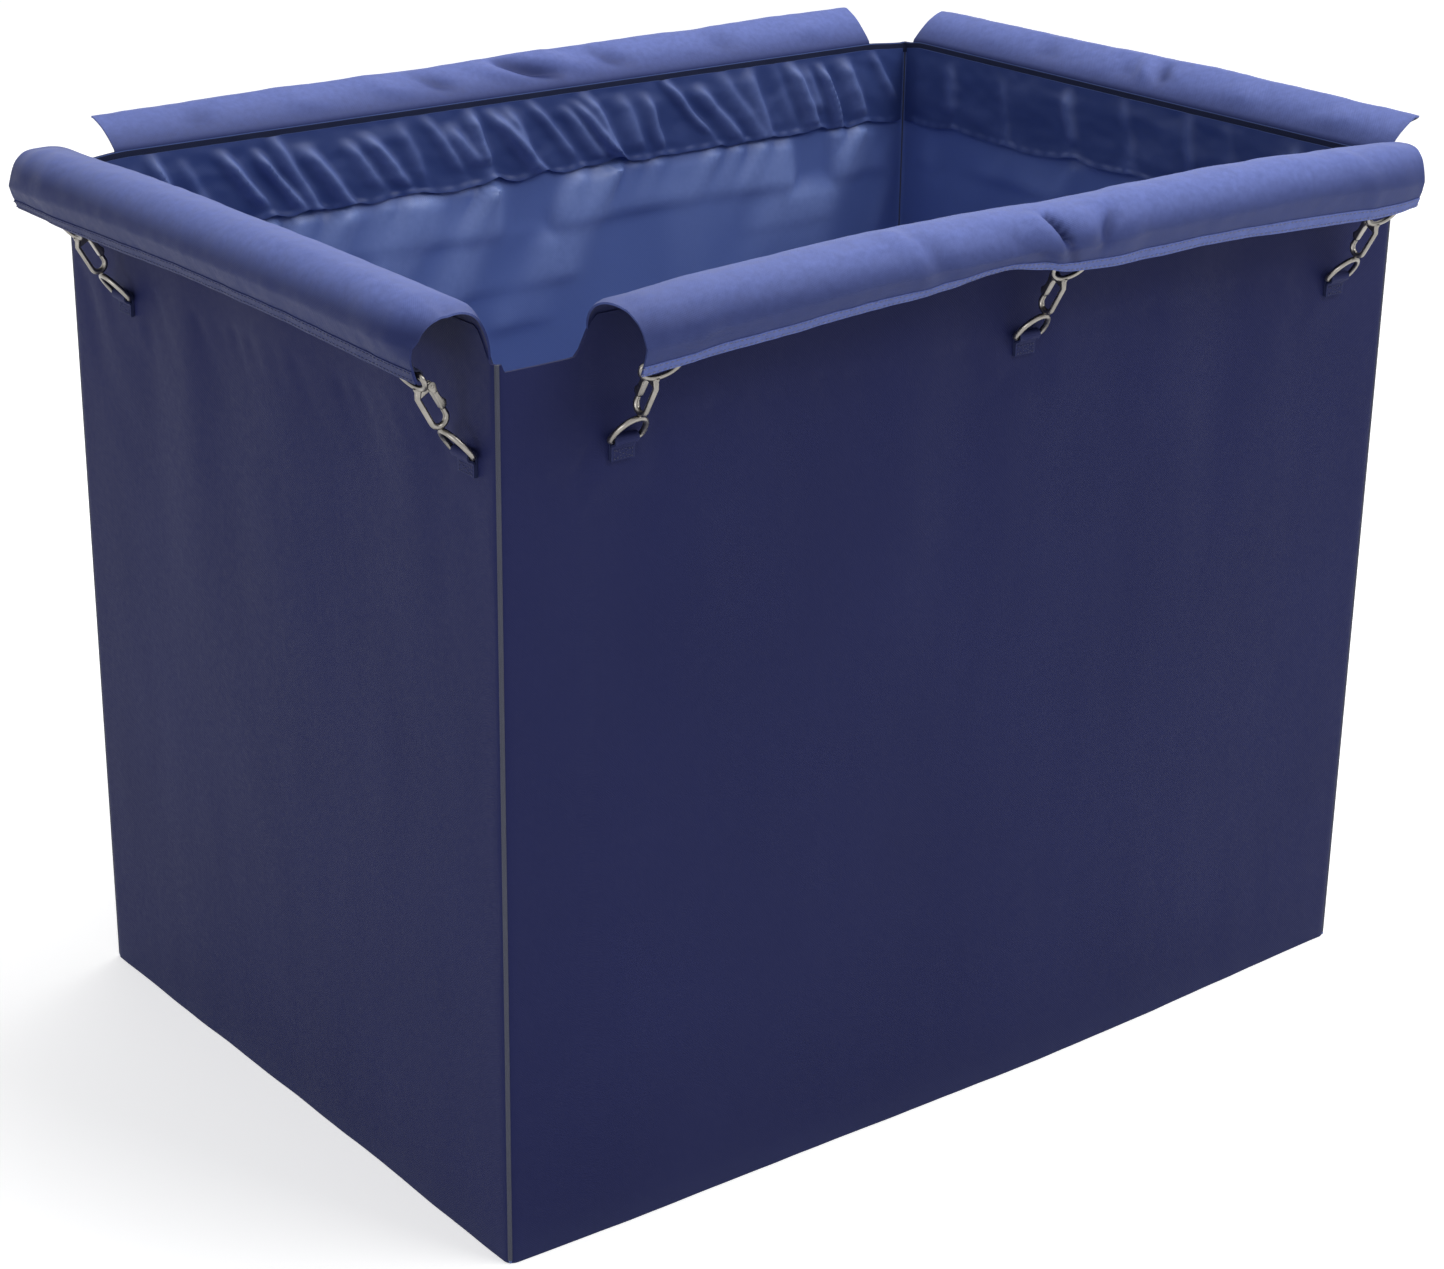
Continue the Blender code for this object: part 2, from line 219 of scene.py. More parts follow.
def pathThrough(points, radii=None, closed=False):
    # a curve that runs straight from point to point
    deselectAll()
    bpy.ops.curve.primitive_nurbs_path_add()
    path = bpy.context.object
    path.data.splines.clear()
    spline = path.data.splines.new("POLY")
    spline.points.add(len(points) - 1)
    spline.use_cyclic_u = closed
    for target, point, radius in zip(spline.points, points, radii or [1] * len(points)):
        target.co = (*point, 1)
        target.radius = radius
    return path


def rod(name, points, radius, closed=False, sides=4, radii=None):
    # a round wire bent along points
    wire = pathThrough(points, radii, closed)
    wire.name = name
    wire.data.bevel_depth = radius
    wire.data.bevel_resolution = sides
    wire.data.use_fill_caps = not closed
    pickOnly(wire)
    bpy.ops.object.convert(target="MESH")
    wire = bpy.context.object
    editAll(wire, mergePoints, bpy.ops.mesh.normals_make_consistent)
    bpy.ops.object.shade_smooth_by_angle(angle=smoothAngle)
    return wire


def stitchRow(name, points, thread):
    # one thread capsule, repeated along a line of points
    line = pathThrough(points)
    bpy.ops.mesh.primitive_uv_sphere_add(segments=6, ring_count=4, radius=1)
    row = bpy.context.object
    nameIt(row, name)
    row.scale = (thread["length"] / 2, thread["radius"], thread["radius"])
    bpy.ops.object.transform_apply()
    repeat = row.modifiers.new("repeat", "ARRAY")
    repeat.fit_type = "FIT_CURVE"
    repeat.curve = line
    repeat.use_relative_offset = False
    repeat.use_constant_offset = True
    repeat.constant_offset_displace = (thread["pitch"], 0, 0)
    follow = row.modifiers.new("follow", "CURVE")
    follow.object = line
    applyModifiers(row)
    bpy.data.objects.remove(line)
    pickOnly(row)
    bpy.ops.object.shade_smooth()
    return row


# finishes

def fill(tree, node, sockets):
    # links other nodes' outputs, or sets plain values
    for name, value in sockets.items():
        if hasattr(value, "is_linked"):
            tree.links.new(value, node.inputs[name])
        else:
            node.inputs[name].default_value = value


def addNode(tree, kind, group=None, **sockets):
    node = tree.nodes.new(kind)
    if group:
        node.node_tree = group
    fill(tree, node, sockets)
    return node


def mathNode(tree, operation, *values):
    node = tree.nodes.new("ShaderNodeMath")
    node.operation = operation
    fill(tree, node, dict(enumerate(values)))
    return node.outputs[0]


def mixColours(tree, share, first, second):
    node = tree.nodes.new("ShaderNodeMix")
    node.data_type = "RGBA"
    ends = [end if hasattr(end, "is_linked") else (*end, 1) for end in (first, second)]
    fill(tree, node, {"Factor": share, "A": ends[0], "B": ends[1]})
    return node.outputs["Result"]


materials = {}


def newMaterial(name):
    # keeps a material under its name, and gives its tree and its shader
    materials[name] = material = bpy.data.materials.new(name)
    material.use_nodes = True
    return material.node_tree, material.node_tree.nodes["Principled BSDF"]


def makeGroup(name, inputs, outputs):
    group = bpy.data.node_groups.new(name, "ShaderNodeTree")
    for label, kind, value in inputs:
        socket = group.interface.new_socket(label, in_out="INPUT", socket_type=kind)
        if value is not None:
            socket.default_value = value
    for label, kind in outputs:
        group.interface.new_socket(label, in_out="OUTPUT", socket_type=kind)
    start = group.nodes.new("NodeGroupInput")
    end = group.nodes.new("NodeGroupOutput")
    return group, start, end


# what all cloths share
# the pale mix, for rubbed wear and painted highlights alike, is grained by the fine mottle
clothLook = {"gapPower": 0.35, "gapTint": 0.35, "paintedLightAndRubBase": 0.35, "paintedLightAndRubFine": 0.30, "roughSpread": 0.22,
             "sheenRoughness": 0.45, "sheenTint": (0.62, 0.70, 1.0, 1),
             "reliefShare": 0.35, "fineRelief": 0.35}
mottleLook = {"Broad": {"Scale": 5.0, "Detail": 3.0, "Roughness": 0.55},
              "Fine": {"Scale": 190.0, "Detail": 2.0, "Roughness": 0.6}}


def makeWeaveGroup():
    # over and under threads: a height, and a mask of the gaps between threads
    group, start, end = makeGroup(
        "threadWeave",
        [("Vector", "NodeSocketVector", None), ("Thread", "NodeSocketFloat", 0.0008)],
        [("Height", "NodeSocketFloat"), ("Gap", "NodeSocketFloat")],
    )
    parts = addNode(group, "ShaderNodeSeparateXYZ", Vector=start.outputs["Vector"])
    waves = []
    for axis in "XY":
        count = mathNode(group, "DIVIDE", parts.outputs[axis], start.outputs["Thread"])
        waves.append(mathNode(group, "SINE", mathNode(group, "MULTIPLY", count, pi)))
    crossing = mathNode(group, "MULTIPLY", *waves)
    height = mathNode(group, "MULTIPLY_ADD", crossing, 0.5, 0.5)
    ridge = mathNode(group, "MULTIPLY", *[mathNode(group, "ABSOLUTE", wave) for wave in waves])
    gap = mathNode(group, "SUBTRACT", 1.0, mathNode(group, "POWER", ridge, clothLook["gapPower"]))
    group.links.new(height, end.inputs["Height"])
    group.links.new(gap, end.inputs["Gap"])
    return group


def makeMottleGroup():
    # slow and fine colour change of used cloth
    outputs = [(label, "NodeSocketFloat") for label in mottleLook]
    group, start, end = makeGroup("clothMottle", [("Vector", "NodeSocketVector", None)], outputs)
    for label, values in mottleLook.items():
        cloud = addNode(group, "ShaderNodeTexNoise", Vector=start.outputs["Vector"], **values)
        group.links.new(cloud.outputs["Fac"], end.inputs[label])
    return group


weaveGroup = makeWeaveGroup()
mottleGroup = makeMottleGroup()


def clothFinish(name, finish):
    tree, shader = newMaterial(name)
    place = tree.nodes.new("ShaderNodeTexCoord")
    weave = addNode(tree, "ShaderNodeGroup", weaveGroup, Vector=place.outputs["UV"], Thread=finish["thread"])
    mottle = addNode(tree, "ShaderNodeGroup", mottleGroup, Vector=place.outputs["Object"])
    fine = mottle.outputs["Fine"]
    # broad light and dark tone, then dark thread gaps, then the pale mix: rubbed wear and painted highlights
    broad = mixColours(tree, mottle.outputs["Broad"], finish["dark"], finish["pale"])
    gapAmount = mathNode(tree, "MULTIPLY", weave.outputs["Gap"], finish["gapShade"])
    gaps = mixColours(tree, gapAmount, broad, [c * clothLook["gapTint"] for c in finish["dark"]])
    paintedLightAndRub = tree.nodes.new("ShaderNodeAttribute")
    paintedLightAndRub.attribute_name = "paintedLightAndRub"
    paintedLightAndRubGrain = mathNode(tree, "MULTIPLY_ADD", fine, clothLook["paintedLightAndRubFine"], clothLook["paintedLightAndRubBase"])
    paintedLightAndRubAmount = mathNode(tree, "MULTIPLY", paintedLightAndRub.outputs["Fac"], paintedLightAndRubGrain)
    paintedLightAndRubShare = mathNode(tree, "MULTIPLY", paintedLightAndRubAmount, finish["paintedLightAndRub"])
    relief = mathNode(tree, "MULTIPLY_ADD", fine, clothLook["fineRelief"], weave.outputs["Height"])
    bump = addNode(tree, "ShaderNodeBump", Strength=finish["bump"], Height=relief,
                   Distance=finish["thread"] * clothLook["reliefShare"])
    spread = clothLook["roughSpread"]
    fill(tree, shader, {
        "Base Color": mixColours(tree, paintedLightAndRubShare, gaps, finish["paintedLightAndRubColour"]),
        "Roughness": mathNode(tree, "MULTIPLY_ADD", fine, spread, finish["roughness"] - spread / 2),
        "Specular IOR Level": finish["specular"], "Sheen Weight": finish["sheen"],
        "Sheen Roughness": clothLook["sheenRoughness"], "Sheen Tint": clothLook["sheenTint"],
        "Normal": bump.outputs["Normal"],
    })


nickelLook = {"dull": (0.17, 0.16, 0.145), "bright": (0.38, 0.36, 0.33),
              "roughness": 0.22, "roughSpread": 0.16, "bump": 0.18, "bumpDepth": 0.0003,
              "cast": {"Scale": 420.0, "Detail": 3.0, "Roughness": 0.6},
              "patches": {"Scale": 95.0, "Detail": 2.0, "Roughness": 0.5}}


def nickelFinish(name):
    tree, shader = newMaterial(name)
    spot = tree.nodes.new("ShaderNodeTexCoord").outputs["Object"]
    cast = addNode(tree, "ShaderNodeTexNoise", Vector=spot, **nickelLook["cast"]).outputs["Fac"]
    patches = addNode(tree, "ShaderNodeTexNoise", Vector=spot, **nickelLook["patches"]).outputs["Fac"]
    bump = addNode(tree, "ShaderNodeBump", Height=cast, Strength=nickelLook["bump"],
                   Distance=nickelLook["bumpDepth"])
    fill(tree, shader, {
        "Base Color": mixColours(tree, patches, nickelLook["dull"], nickelLook["bright"]), "Metallic": 1.0,
        "Roughness": mathNode(tree, "MULTIPLY_ADD", cast, nickelLook["roughSpread"], nickelLook["roughness"]),
        "Normal": bump.outputs["Normal"],
    })


threadLook = {"thread": (0.030, 0.036, 0.100), "paleThread": (0.150, 0.165, 0.280),
              "shade": 0.7, "roughness": 0.7, "fibre": {"Scale": 900.0, "Detail": 2.0}}


def threadFinish(name):
    tree, shader = newMaterial(name)
    spot = tree.nodes.new("ShaderNodeTexCoord").outputs["Object"]
    fibre = addNode(tree, "ShaderNodeTexNoise", Vector=spot, **threadLook["fibre"]).outputs["Fac"]
    colour = threadLook[name]
    tint = mixColours(tree, fibre, [c * threadLook["shade"] for c in colour], colour)
    fill(tree, shader, {"Base Color": tint, "Roughness": threadLook["roughness"]})


finishes = {
    "wallCloth": {
        "dark": (0.0152, 0.0186, 0.076), "pale": (0.0207, 0.0253, 0.100), "paintedLightAndRubColour": (0.055, 0.068, 0.150),
        "thread": 0.0009, "gapShade": 0.5, "bump": 0.35, "paintedLightAndRub": 0.6,
        "roughness": 0.55, "specular": 0.08, "sheen": 0.01},
    # the lining's own lighter blue, painted much brighter still as a glow of light shining through the walls;
    # its pale mix is the painted highlight of the inside folds
    "liningAndPaintedGlow": {
        "dark": (0.106, 0.164, 0.430), "pale": (0.142, 0.216, 0.540), "paintedLightAndRubColour": (0.300, 0.400, 0.760),
        "thread": 0.0009, "gapShade": 0.45, "bump": 0.3, "paintedLightAndRub": 0.8,
        "roughness": 0.36, "specular": 0.32, "sheen": 0.04},
    # the facing's pale mix is the painted highlight on its gathers' ridges
    "facingCloth": {
        "dark": (0.034, 0.059, 0.202), "pale": (0.050, 0.084, 0.268), "paintedLightAndRubColour": (0.180, 0.245, 0.530),
        "thread": 0.0009, "gapShade": 0.45, "bump": 0.3, "paintedLightAndRub": 1.1,
        "roughness": 0.40, "specular": 0.30, "sheen": 0.05},
    # the flap's pale mix is the painted highlight along its crest and hem
    "flapCloth": {
        "dark": (0.0140, 0.0210, 0.092), "pale": (0.0190, 0.0285, 0.120), "paintedLightAndRubColour": (0.210, 0.275, 0.690),
        "thread": 0.0009, "gapShade": 0.4, "bump": 0.3, "paintedLightAndRub": 1.2,
        "roughness": 0.48, "specular": 0.12, "sheen": 0.02},
    "rimTape": {
        "dark": (0.014, 0.019, 0.052), "pale": (0.020, 0.027, 0.072), "paintedLightAndRubColour": (0.040, 0.048, 0.100),
        "thread": 0.0012, "gapShade": 0.6, "bump": 0.6, "paintedLightAndRub": 0.3,
        "roughness": 0.65, "specular": 0.15, "sheen": 0.03},
    "pipingCloth": {
        "dark": (0.055, 0.060, 0.092), "pale": (0.082, 0.088, 0.125), "paintedLightAndRubColour": (0.140, 0.145, 0.180),
        "thread": 0.0009, "gapShade": 0.4, "bump": 0.5, "paintedLightAndRub": 0.4,
        "roughness": 0.60, "specular": 0.20, "sheen": 0.05},
    "webbing": {
        "dark": (0.013, 0.015, 0.046), "pale": (0.020, 0.024, 0.066), "paintedLightAndRubColour": (0.045, 0.054, 0.110),
        "thread": 0.0016, "gapShade": 0.7, "bump": 0.9, "paintedLightAndRub": 0.5,
        "roughness": 0.62, "specular": 0.15, "sheen": 0.04},
}
for finishName, finishValues in finishes.items():
    clothFinish(finishName, finishValues)
nickelFinish("nickel")
threadFinish("thread")
threadFinish("paleThread")
print("finishes made:", len(materials))


def paintWearAndLight(piece, amount):
    # how far each point is painted pale, 0 to 1: rubbed wear, and painted highlights on folds, ridges, crests
    # and hems
    layer = piece.data.attributes.new("paintedLightAndRub", "FLOAT", "POINT")
    for vert, value in zip(piece.data.vertices, layer.data):
        value.value = amount(vert.co)


# walls: one lofted shell round the four sides

# the inside folds that stand in get a painted highlight; the foot and the top outside are rubbed pale
shell = {"sidePitch": 0.0042, "cornerSteps": 5, "topRows": 50, "lowRows": 20, "topBand": 0.215,
         "frontBow": 0.009, "bowPower": 1.5, "edgeFade": 0.12, "rimFade": 0.06, "crinkle": 0.0004,
         "footRub": 0.5, "foot": 0.03, "topRub": 0.3, "top": 0.02,
         "foldPaintedHighlight": 1.1, "foldStart": 0.0004, "foldSpan": 0.0060}
# waves of the slack cloth: height, waves along, waves up, seed step
slackWaves = ((0.0026, 3.6, 2.9, 0), (0.0011, 11, 5.5, 3))
# soft upright folds of the slack cloth under the rim
hangFolds = {"height": 0.0013, "start": 0.45, "fade": 0.4, "waves": 46, "wander": 3}
# the flat place round a ring's tab
ringFlat = {"half": 0.012, "drop": 0.006, "rise": 0.016, "fade": 0.022}
# how far the free rim sags below the flaps' level, along each side
rimSags = {
    "front": ((-0.400, -0.0250), (-0.344, -0.0245), (-0.326, 0.0), (0.350, 0.0), (0.400, -0.0090)),
    "right": ((-0.275, -0.0090), (-0.250, 0.0), (0.250, 0.0), (0.275, -0.0030)),
    "back": ((-0.400, -0.0030), (-0.350, 0.0), (0.350, 0.0), (0.400, -0.0040)),
    "left": ((-0.275, -0.0040), (-0.250, 0.0), (0.252, 0.0), (0.275, -0.0250)),
}
# the facing's last two values set the painted highlight on the gathers' ridges
facing = {"height": 0.066, "top": 0.0046, "cloth": 0.0011, "rows": 40, "gather": 1.25, "seed": 61,
          "endGap": 0.0062, "gatherEnd": 0.014, "columnPitch": 0.0020, "standOff": 0.0014, "endFade": 0.02,
          "soft": 0.0016, "crinkle": 0.0005, "seamStart": 0.92, "seamFade": 0.06, "seamDepth": 0.0005,
          "tuckDepth": 0.0008, "tuckWaves": 420, "tuckRise": 0.0006, "gatherRise": 0.0048, "sag": 0.0022,
          "seamWander": 0.0042, "paintedHighlightStart": 0.0012, "paintedHighlightSpan": 0.0062}
puckers = {
    "front": {"depth": 0.0060, "slant": 0.026, "pitch": 0.027},
    "right": {"depth": 0.0046, "slant": 0.010, "pitch": 0.058},
    "back": {"depth": 0.0085, "slant": 0.040, "pitch": 0.025},
    "left": {"depth": 0.0060, "slant": 0.024, "pitch": 0.028},
}
# what is drawn for each gather, in this order
gatherRanges = {"slant": (0.5, 1.5), "width": (0.0042, 0.0070), "share": (0.25, 1.0),
                "start": (-0.12, 0.12), "end": (0.72, 1.05), "fade": (0.016, 0.070)}
gatherPitch = (0.55, 1.5)
# folds in the wall under the facing's seam: a puff below each gather, and broad folds that lean and fade
seamFolds = {"drop": 0.067, "lean": 0.62, "endFade": 0.035,
             "puff": 1.25, "puffWidth": 0.0060, "puffSpread": 0.20, "puffStart": 0.006,
             "broad": 0.8, "broadPitch": 0.085, "broadFade": 0.110, "broadStart": 0.012,
             "broadWander": 1.3, "broadPower": 1.3,
             "depth": {"front": 0.0012, "right": 0.0022, "back": 0.0078, "left": 0.0014}}
# creases left where the bag lay folded: drop below the rim, from and to along the side, depth
packFolds = {"above": 0.026, "below": 0.0062, "wander": 0.005, "endFade": 0.030, "lines": {
    "front": (), "left": (),
    "right": ((0.098, -0.150, 0.268, 0.0022), (0.141, 0.030, 0.200, 0.0014)),
    "back": ((0.105, -0.393, 0.205, 0.0034), (0.152, -0.060, 0.085, 0.0024), (0.183, -0.035, 0.055, 0.0018),
             (0.138, -0.330, -0.210, 0.0018), (0.128, 0.120, 0.215, 0.0018)),
}}


def gatherSpots(side):
    # the facing's gathers, unevenly spaced, leaning and deep
    chance = random.Random(facing["seed"] + turns[side])
    half = sideSpan(side) / 2 - facing["gatherEnd"]
    spots = []
    along = -half
    while along < half:
        spot = {name: chance.uniform(*limits) for name, limits in gatherRanges.items()}
        spot["slant"] *= puckers[side]["slant"]
        spot["along"] = along
        spots.append(spot)
        along += puckers[side]["pitch"] * chance.uniform(*gatherPitch)
    return spots


gathers = {side: gatherSpots(side) for side in turns}
ringSpots = jointsOf("ring", "tilt")
hookSpots = jointsOf("hook", "swing")


def besideRing(side, along, up):
    # 0 where a ring's tab holds the wall flat, 1 away from it
    away = min(max(abs(along - spot.x) - ringFlat["half"],
                   abs(up - spot.z + ringFlat["drop"]) - ringFlat["rise"]) for spot in ringSpots[side])
    return smoothStep(away / ringFlat["fade"])


def rimHeight(side, along):
    return bag["height"] + alongStops(rimSags[side], along)


def wallOut(side, along, up):
    # how far a wall stands out from its flat place
    span = sideSpan(side)
    level = up / bag["height"]
    seed = turns[side] / 37.0
    toEnd = span / 2 - abs(along)
    rim = rimHeight(side, along)
    free = besideRing(side, along, up)
    edge = smoothStep(toEnd / shell["edgeFade"])
    held = smoothStep((rim - up) / shell["rimFade"]) * free
    out = 0.0
    for height, waves, rise, step in slackWaves:
        out += height * edge * held * ripple(along * waves + seed, up * rise, seed + step)
    out += shell["crinkle"] * held * ripple(along * 34, up * 17, seed + 7)
    hang = smoothStep((level - hangFolds["start"]) / hangFolds["fade"])
    hangTurn = along * hangFolds["waves"] + hangFolds["wander"] * ripple(along * 5, up * 2, seed + 11)
    out += hangFolds["height"] * hang * held * edge * sin(hangTurn)
    below = rim - seamFolds["drop"] - up
    if below > 0:
        start = along - seamFolds["lean"] * below
        width = seamFolds["puffWidth"] + seamFolds["puffSpread"] * below
        puff = 0.0
        for spot in gathers[side]:
            miss = (start - spot["along"] + spot["slant"]) / width
            puff += seamFolds["puff"] * spot["share"] * exp(-miss * miss - below / spot["fade"])
        wander = seamFolds["broadWander"] * ripple(along * 4, below * 4, seed + 23)
        broadTurn = start / seamFolds["broadPitch"] + wander
        broad = (0.5 + 0.5 * cos(2 * pi * broadTurn)) ** seamFolds["broadPower"]
        broad *= max(0.0, 0.6 + 1.2 * ripple(start * 5, 0.9, seed + 27))
        fade = exp(-((below / seamFolds["broadFade"]) ** 2))
        pull = puff * smoothStep(below / seamFolds["puffStart"])
        pull += seamFolds["broad"] * broad * fade * smoothStep(below / seamFolds["broadStart"])
        out -= seamFolds["depth"][side] * smoothStep(toEnd / seamFolds["endFade"]) * free * pull
    for drop, begin, end, depth in packFolds["lines"][side]:
        miss = rim - up - drop - packFolds["wander"] * ripple(along * 6, drop * 40, seed + 31)
        reach = packFolds["below"] if miss > 0 else packFolds["above"]
        fade = packFolds["endFade"]
        kept = smoothStep((along - begin) / fade) * smoothStep((end - along) / fade) * free
        strength = 0.75 + 0.9 * ripple(along * 13, drop * 40, seed + 33)
        out -= depth * kept * strength * exp(-((miss / reach) ** 2))
    if side == "front":
        bow = shell["frontBow"] * max(0.0, cos(pi * along / span))
        out += bow * max(0.0, 1 - level) ** shell["bowPower"]
    return out


def perimeter():
    # (side, along, corner turn from 0 to 1 or None) once round the bag
    stops = []
    radius = bag["cornerRadius"]
    for side in turns:
        reach = sideSpan(side) / 2 - radius
        steps = round(2 * reach / shell["sidePitch"])
        stops += [(side, -reach + 2 * reach * step / steps, None) for step in range(steps + 1)]
        stops += [(side, reach, step / shell["cornerSteps"]) for step in range(1, shell["cornerSteps"])]
    return stops + stops[:1]


def shellPoint(stop, level):
    side, along, corner = stop
    up = rimHeight(side, along) * level
    if corner is None:
        return sidePoint(side, along, wallOut(side, along, up), up)
    angle = radians(90 * corner)
    radius = bag["cornerRadius"]
    return sidePoint(side, along + radius * sin(angle), radius * (cos(angle) - 1), up)


def makeShell():
    stops = perimeter()
    columns = len(stops) - 1
    rows = shell["lowRows"] + shell["topRows"]
    bandFoot = 1 - shell["topBand"] / bag["height"]

    def rowAt(v):
        # rows lie closer in the band under the rim
        step = v * rows
        if step < shell["lowRows"]:
            return bandFoot * step / shell["lowRows"]
        return bandFoot + (1 - bandFoot) * (step - shell["lowRows"]) / shell["topRows"]

    def place(u, v):
        return shellPoint(stops[round(u * columns)], v)

    piece = clothGrid("bagShell", columns, rows, place, (girth, bag["height"]), rowAt)
    editAll(piece, mergePoints)
    low, high = shell["foot"], bag["height"] - shell["top"]

    def wearAndPaintedLight(co):
        # inside, the folds that stand in get a painted highlight; outside, the foot and the top are rubbed
        # pale
        spots = [(name, back @ co) for name, back in toSide.items()]
        side, spot = max(spots, key=lambda pair: -pair[1].y - sideDepth(pair[0]))
        out = -spot.y - sideDepth(side)
        if out < wallOut(side, spot.x, spot.z) - bag["cloth"] / 2:
            inside = -out - bag["cloth"] - shell["foldStart"]
            return shell["foldPaintedHighlight"] * smoothStep(inside / shell["foldSpan"])
        foot = shell["footRub"] * smoothStep((low - co.z) / low)
        return foot + shell["topRub"] * smoothStep((co.z - high) / shell["top"])

    sew(piece, ("wallCloth", "liningAndPaintedGlow"), bag["cloth"], -1, wearAndPaintedLight, outwards)
    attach(piece, "bag")
    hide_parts("front_wall", "right_wall", "back_wall", "left_wall")


bottom = {"inset": 0.0012, "level": 0.0018, "cloth": 0.0016, "columns": 96, "rows": 66, "edgeFade": 0.05,
          "lift": 0.0018, "fineLift": 0.0008, "wallAt": 0.002, "paintedLightAndRub": 0.15}


def makeFloor():
    length = bag["length"] - 2 * bottom["inset"]
    width = bag["width"] - 2 * bottom["inset"]
    foot = bottom["wallAt"]

    def place(u, v):
        x = (u - 0.5) * length
        y = (v - 0.5) * width
        edge = smoothStep(min(length / 2 - abs(x), width / 2 - abs(y)) / bottom["edgeFade"])
        lift = bottom["lift"] * edge * (0.5 + ripple(x * 5, y * 5, 4.2))
        lift += bottom["fineLift"] * edge * ripple(x * 17, y * 17, 9.1)
        # each edge goes out as far as its wall does
        y -= wallOut("front", x, foot) * (1 - v) ** 3 - wallOut("back", -x, foot) * v ** 3
        x -= wallOut("left", -y, foot) * (1 - u) ** 3 - wallOut("right", y, foot) * u ** 3
        return Vector((x, y, bottom["level"] + max(0.0, lift)))

    piece = clothGrid("bagFloor", bottom["columns"], bottom["rows"], place, (length, width))
    sew(piece, ("liningAndPaintedGlow", "wallCloth"), bottom["cloth"], -1, lambda co: bottom["paintedLightAndRub"],
        lambda centre: Vector((0, 0, 1)))
    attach(piece, "bag")
    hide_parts("floor_panel")


makeShell()
makeFloor()
print("walls and floor made")

# piping in the four upright seams

piping = {"radius": 0.0017, "proud": 0.0004, "sunk": 0.6, "foot": 0.0022, "steps": 64,
          "wander": 0.0007, "wanderTurn": 30}
seams = {"front": "front_right_piping", "right": "back_right_piping",
         "back": "back_left_piping", "left": "front_left_piping"}


def makePiping():
    radius = bag["cornerRadius"]
    foot = piping["foot"]
    for side, node in seams.items():
        edge = sideSpan(side) / 2 - radius
        top = rimHeight(side, edge)
        reach = radius + piping["proud"] - piping["radius"] * piping["sunk"]
        points = []
        for step in range(piping["steps"] + 1):
            up = foot + (top - foot) * step / piping["steps"]
            shift = piping["wander"] * ripple(up * 7, turns[side], 2.0)
            angle = radians(45) + shift * piping["wanderTurn"]
            along = edge + reach * sin(angle)
            points.append(sidePoint(side, along, reach * cos(angle) - radius, up))
        piece = rod(f"{side}SeamPiping", points, piping["radius"], sides=2)
        dress(piece, "pipingCloth")
        paintWearAndLight(piece, lambda co: 0.5 + 0.5 * ripple(co.z * 22, co.x, 1.0))
        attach(piece, "bag")
        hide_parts(node)


makePiping()
print("piping made")

# tape that binds the rim inside

tape = {"height": 0.0078, "flatHeight": 0.0105, "cloth": 0.0008, "inset": 0.0020, "drop": 0.0006,
        "wave": 0.0003, "rows": 4, "paintedLightAndRub": 0.3}


def makeTape():
    stops = perimeter()
    columns = len(stops) - 1

    def place(u, v):
        side, along, corner = stops[round(u * columns)]
        point = shellPoint((side, along, corner), 1.0)
        middle = Vector((point.x, point.y, 0))
        inward = sideTurn(side) @ Vector((0, 1, 0))
        if corner is not None:
            inward = Matrix.Rotation(radians(90 * corner), 4, "Z") @ inward
        up = point.z - tape["drop"] - tape["height"] * (1 - v)
        wave = tape["wave"] * ripple(u * 160, v * 2, 5.0)
        return middle + inward * (tape["inset"] + wave) + Vector((0, 0, up))

    piece = clothGrid("rimTape", columns, tape["rows"], place, (girth, tape["height"]))
    editAll(piece, mergePoints)
    sew(piece, ("rimTape",), tape["cloth"], 1, lambda co: tape["paintedLightAndRub"], inwards)
    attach(piece, "bag")
    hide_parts("rim_tape")


makeTape()
print("rim tape made")

# gathered facings inside the rim

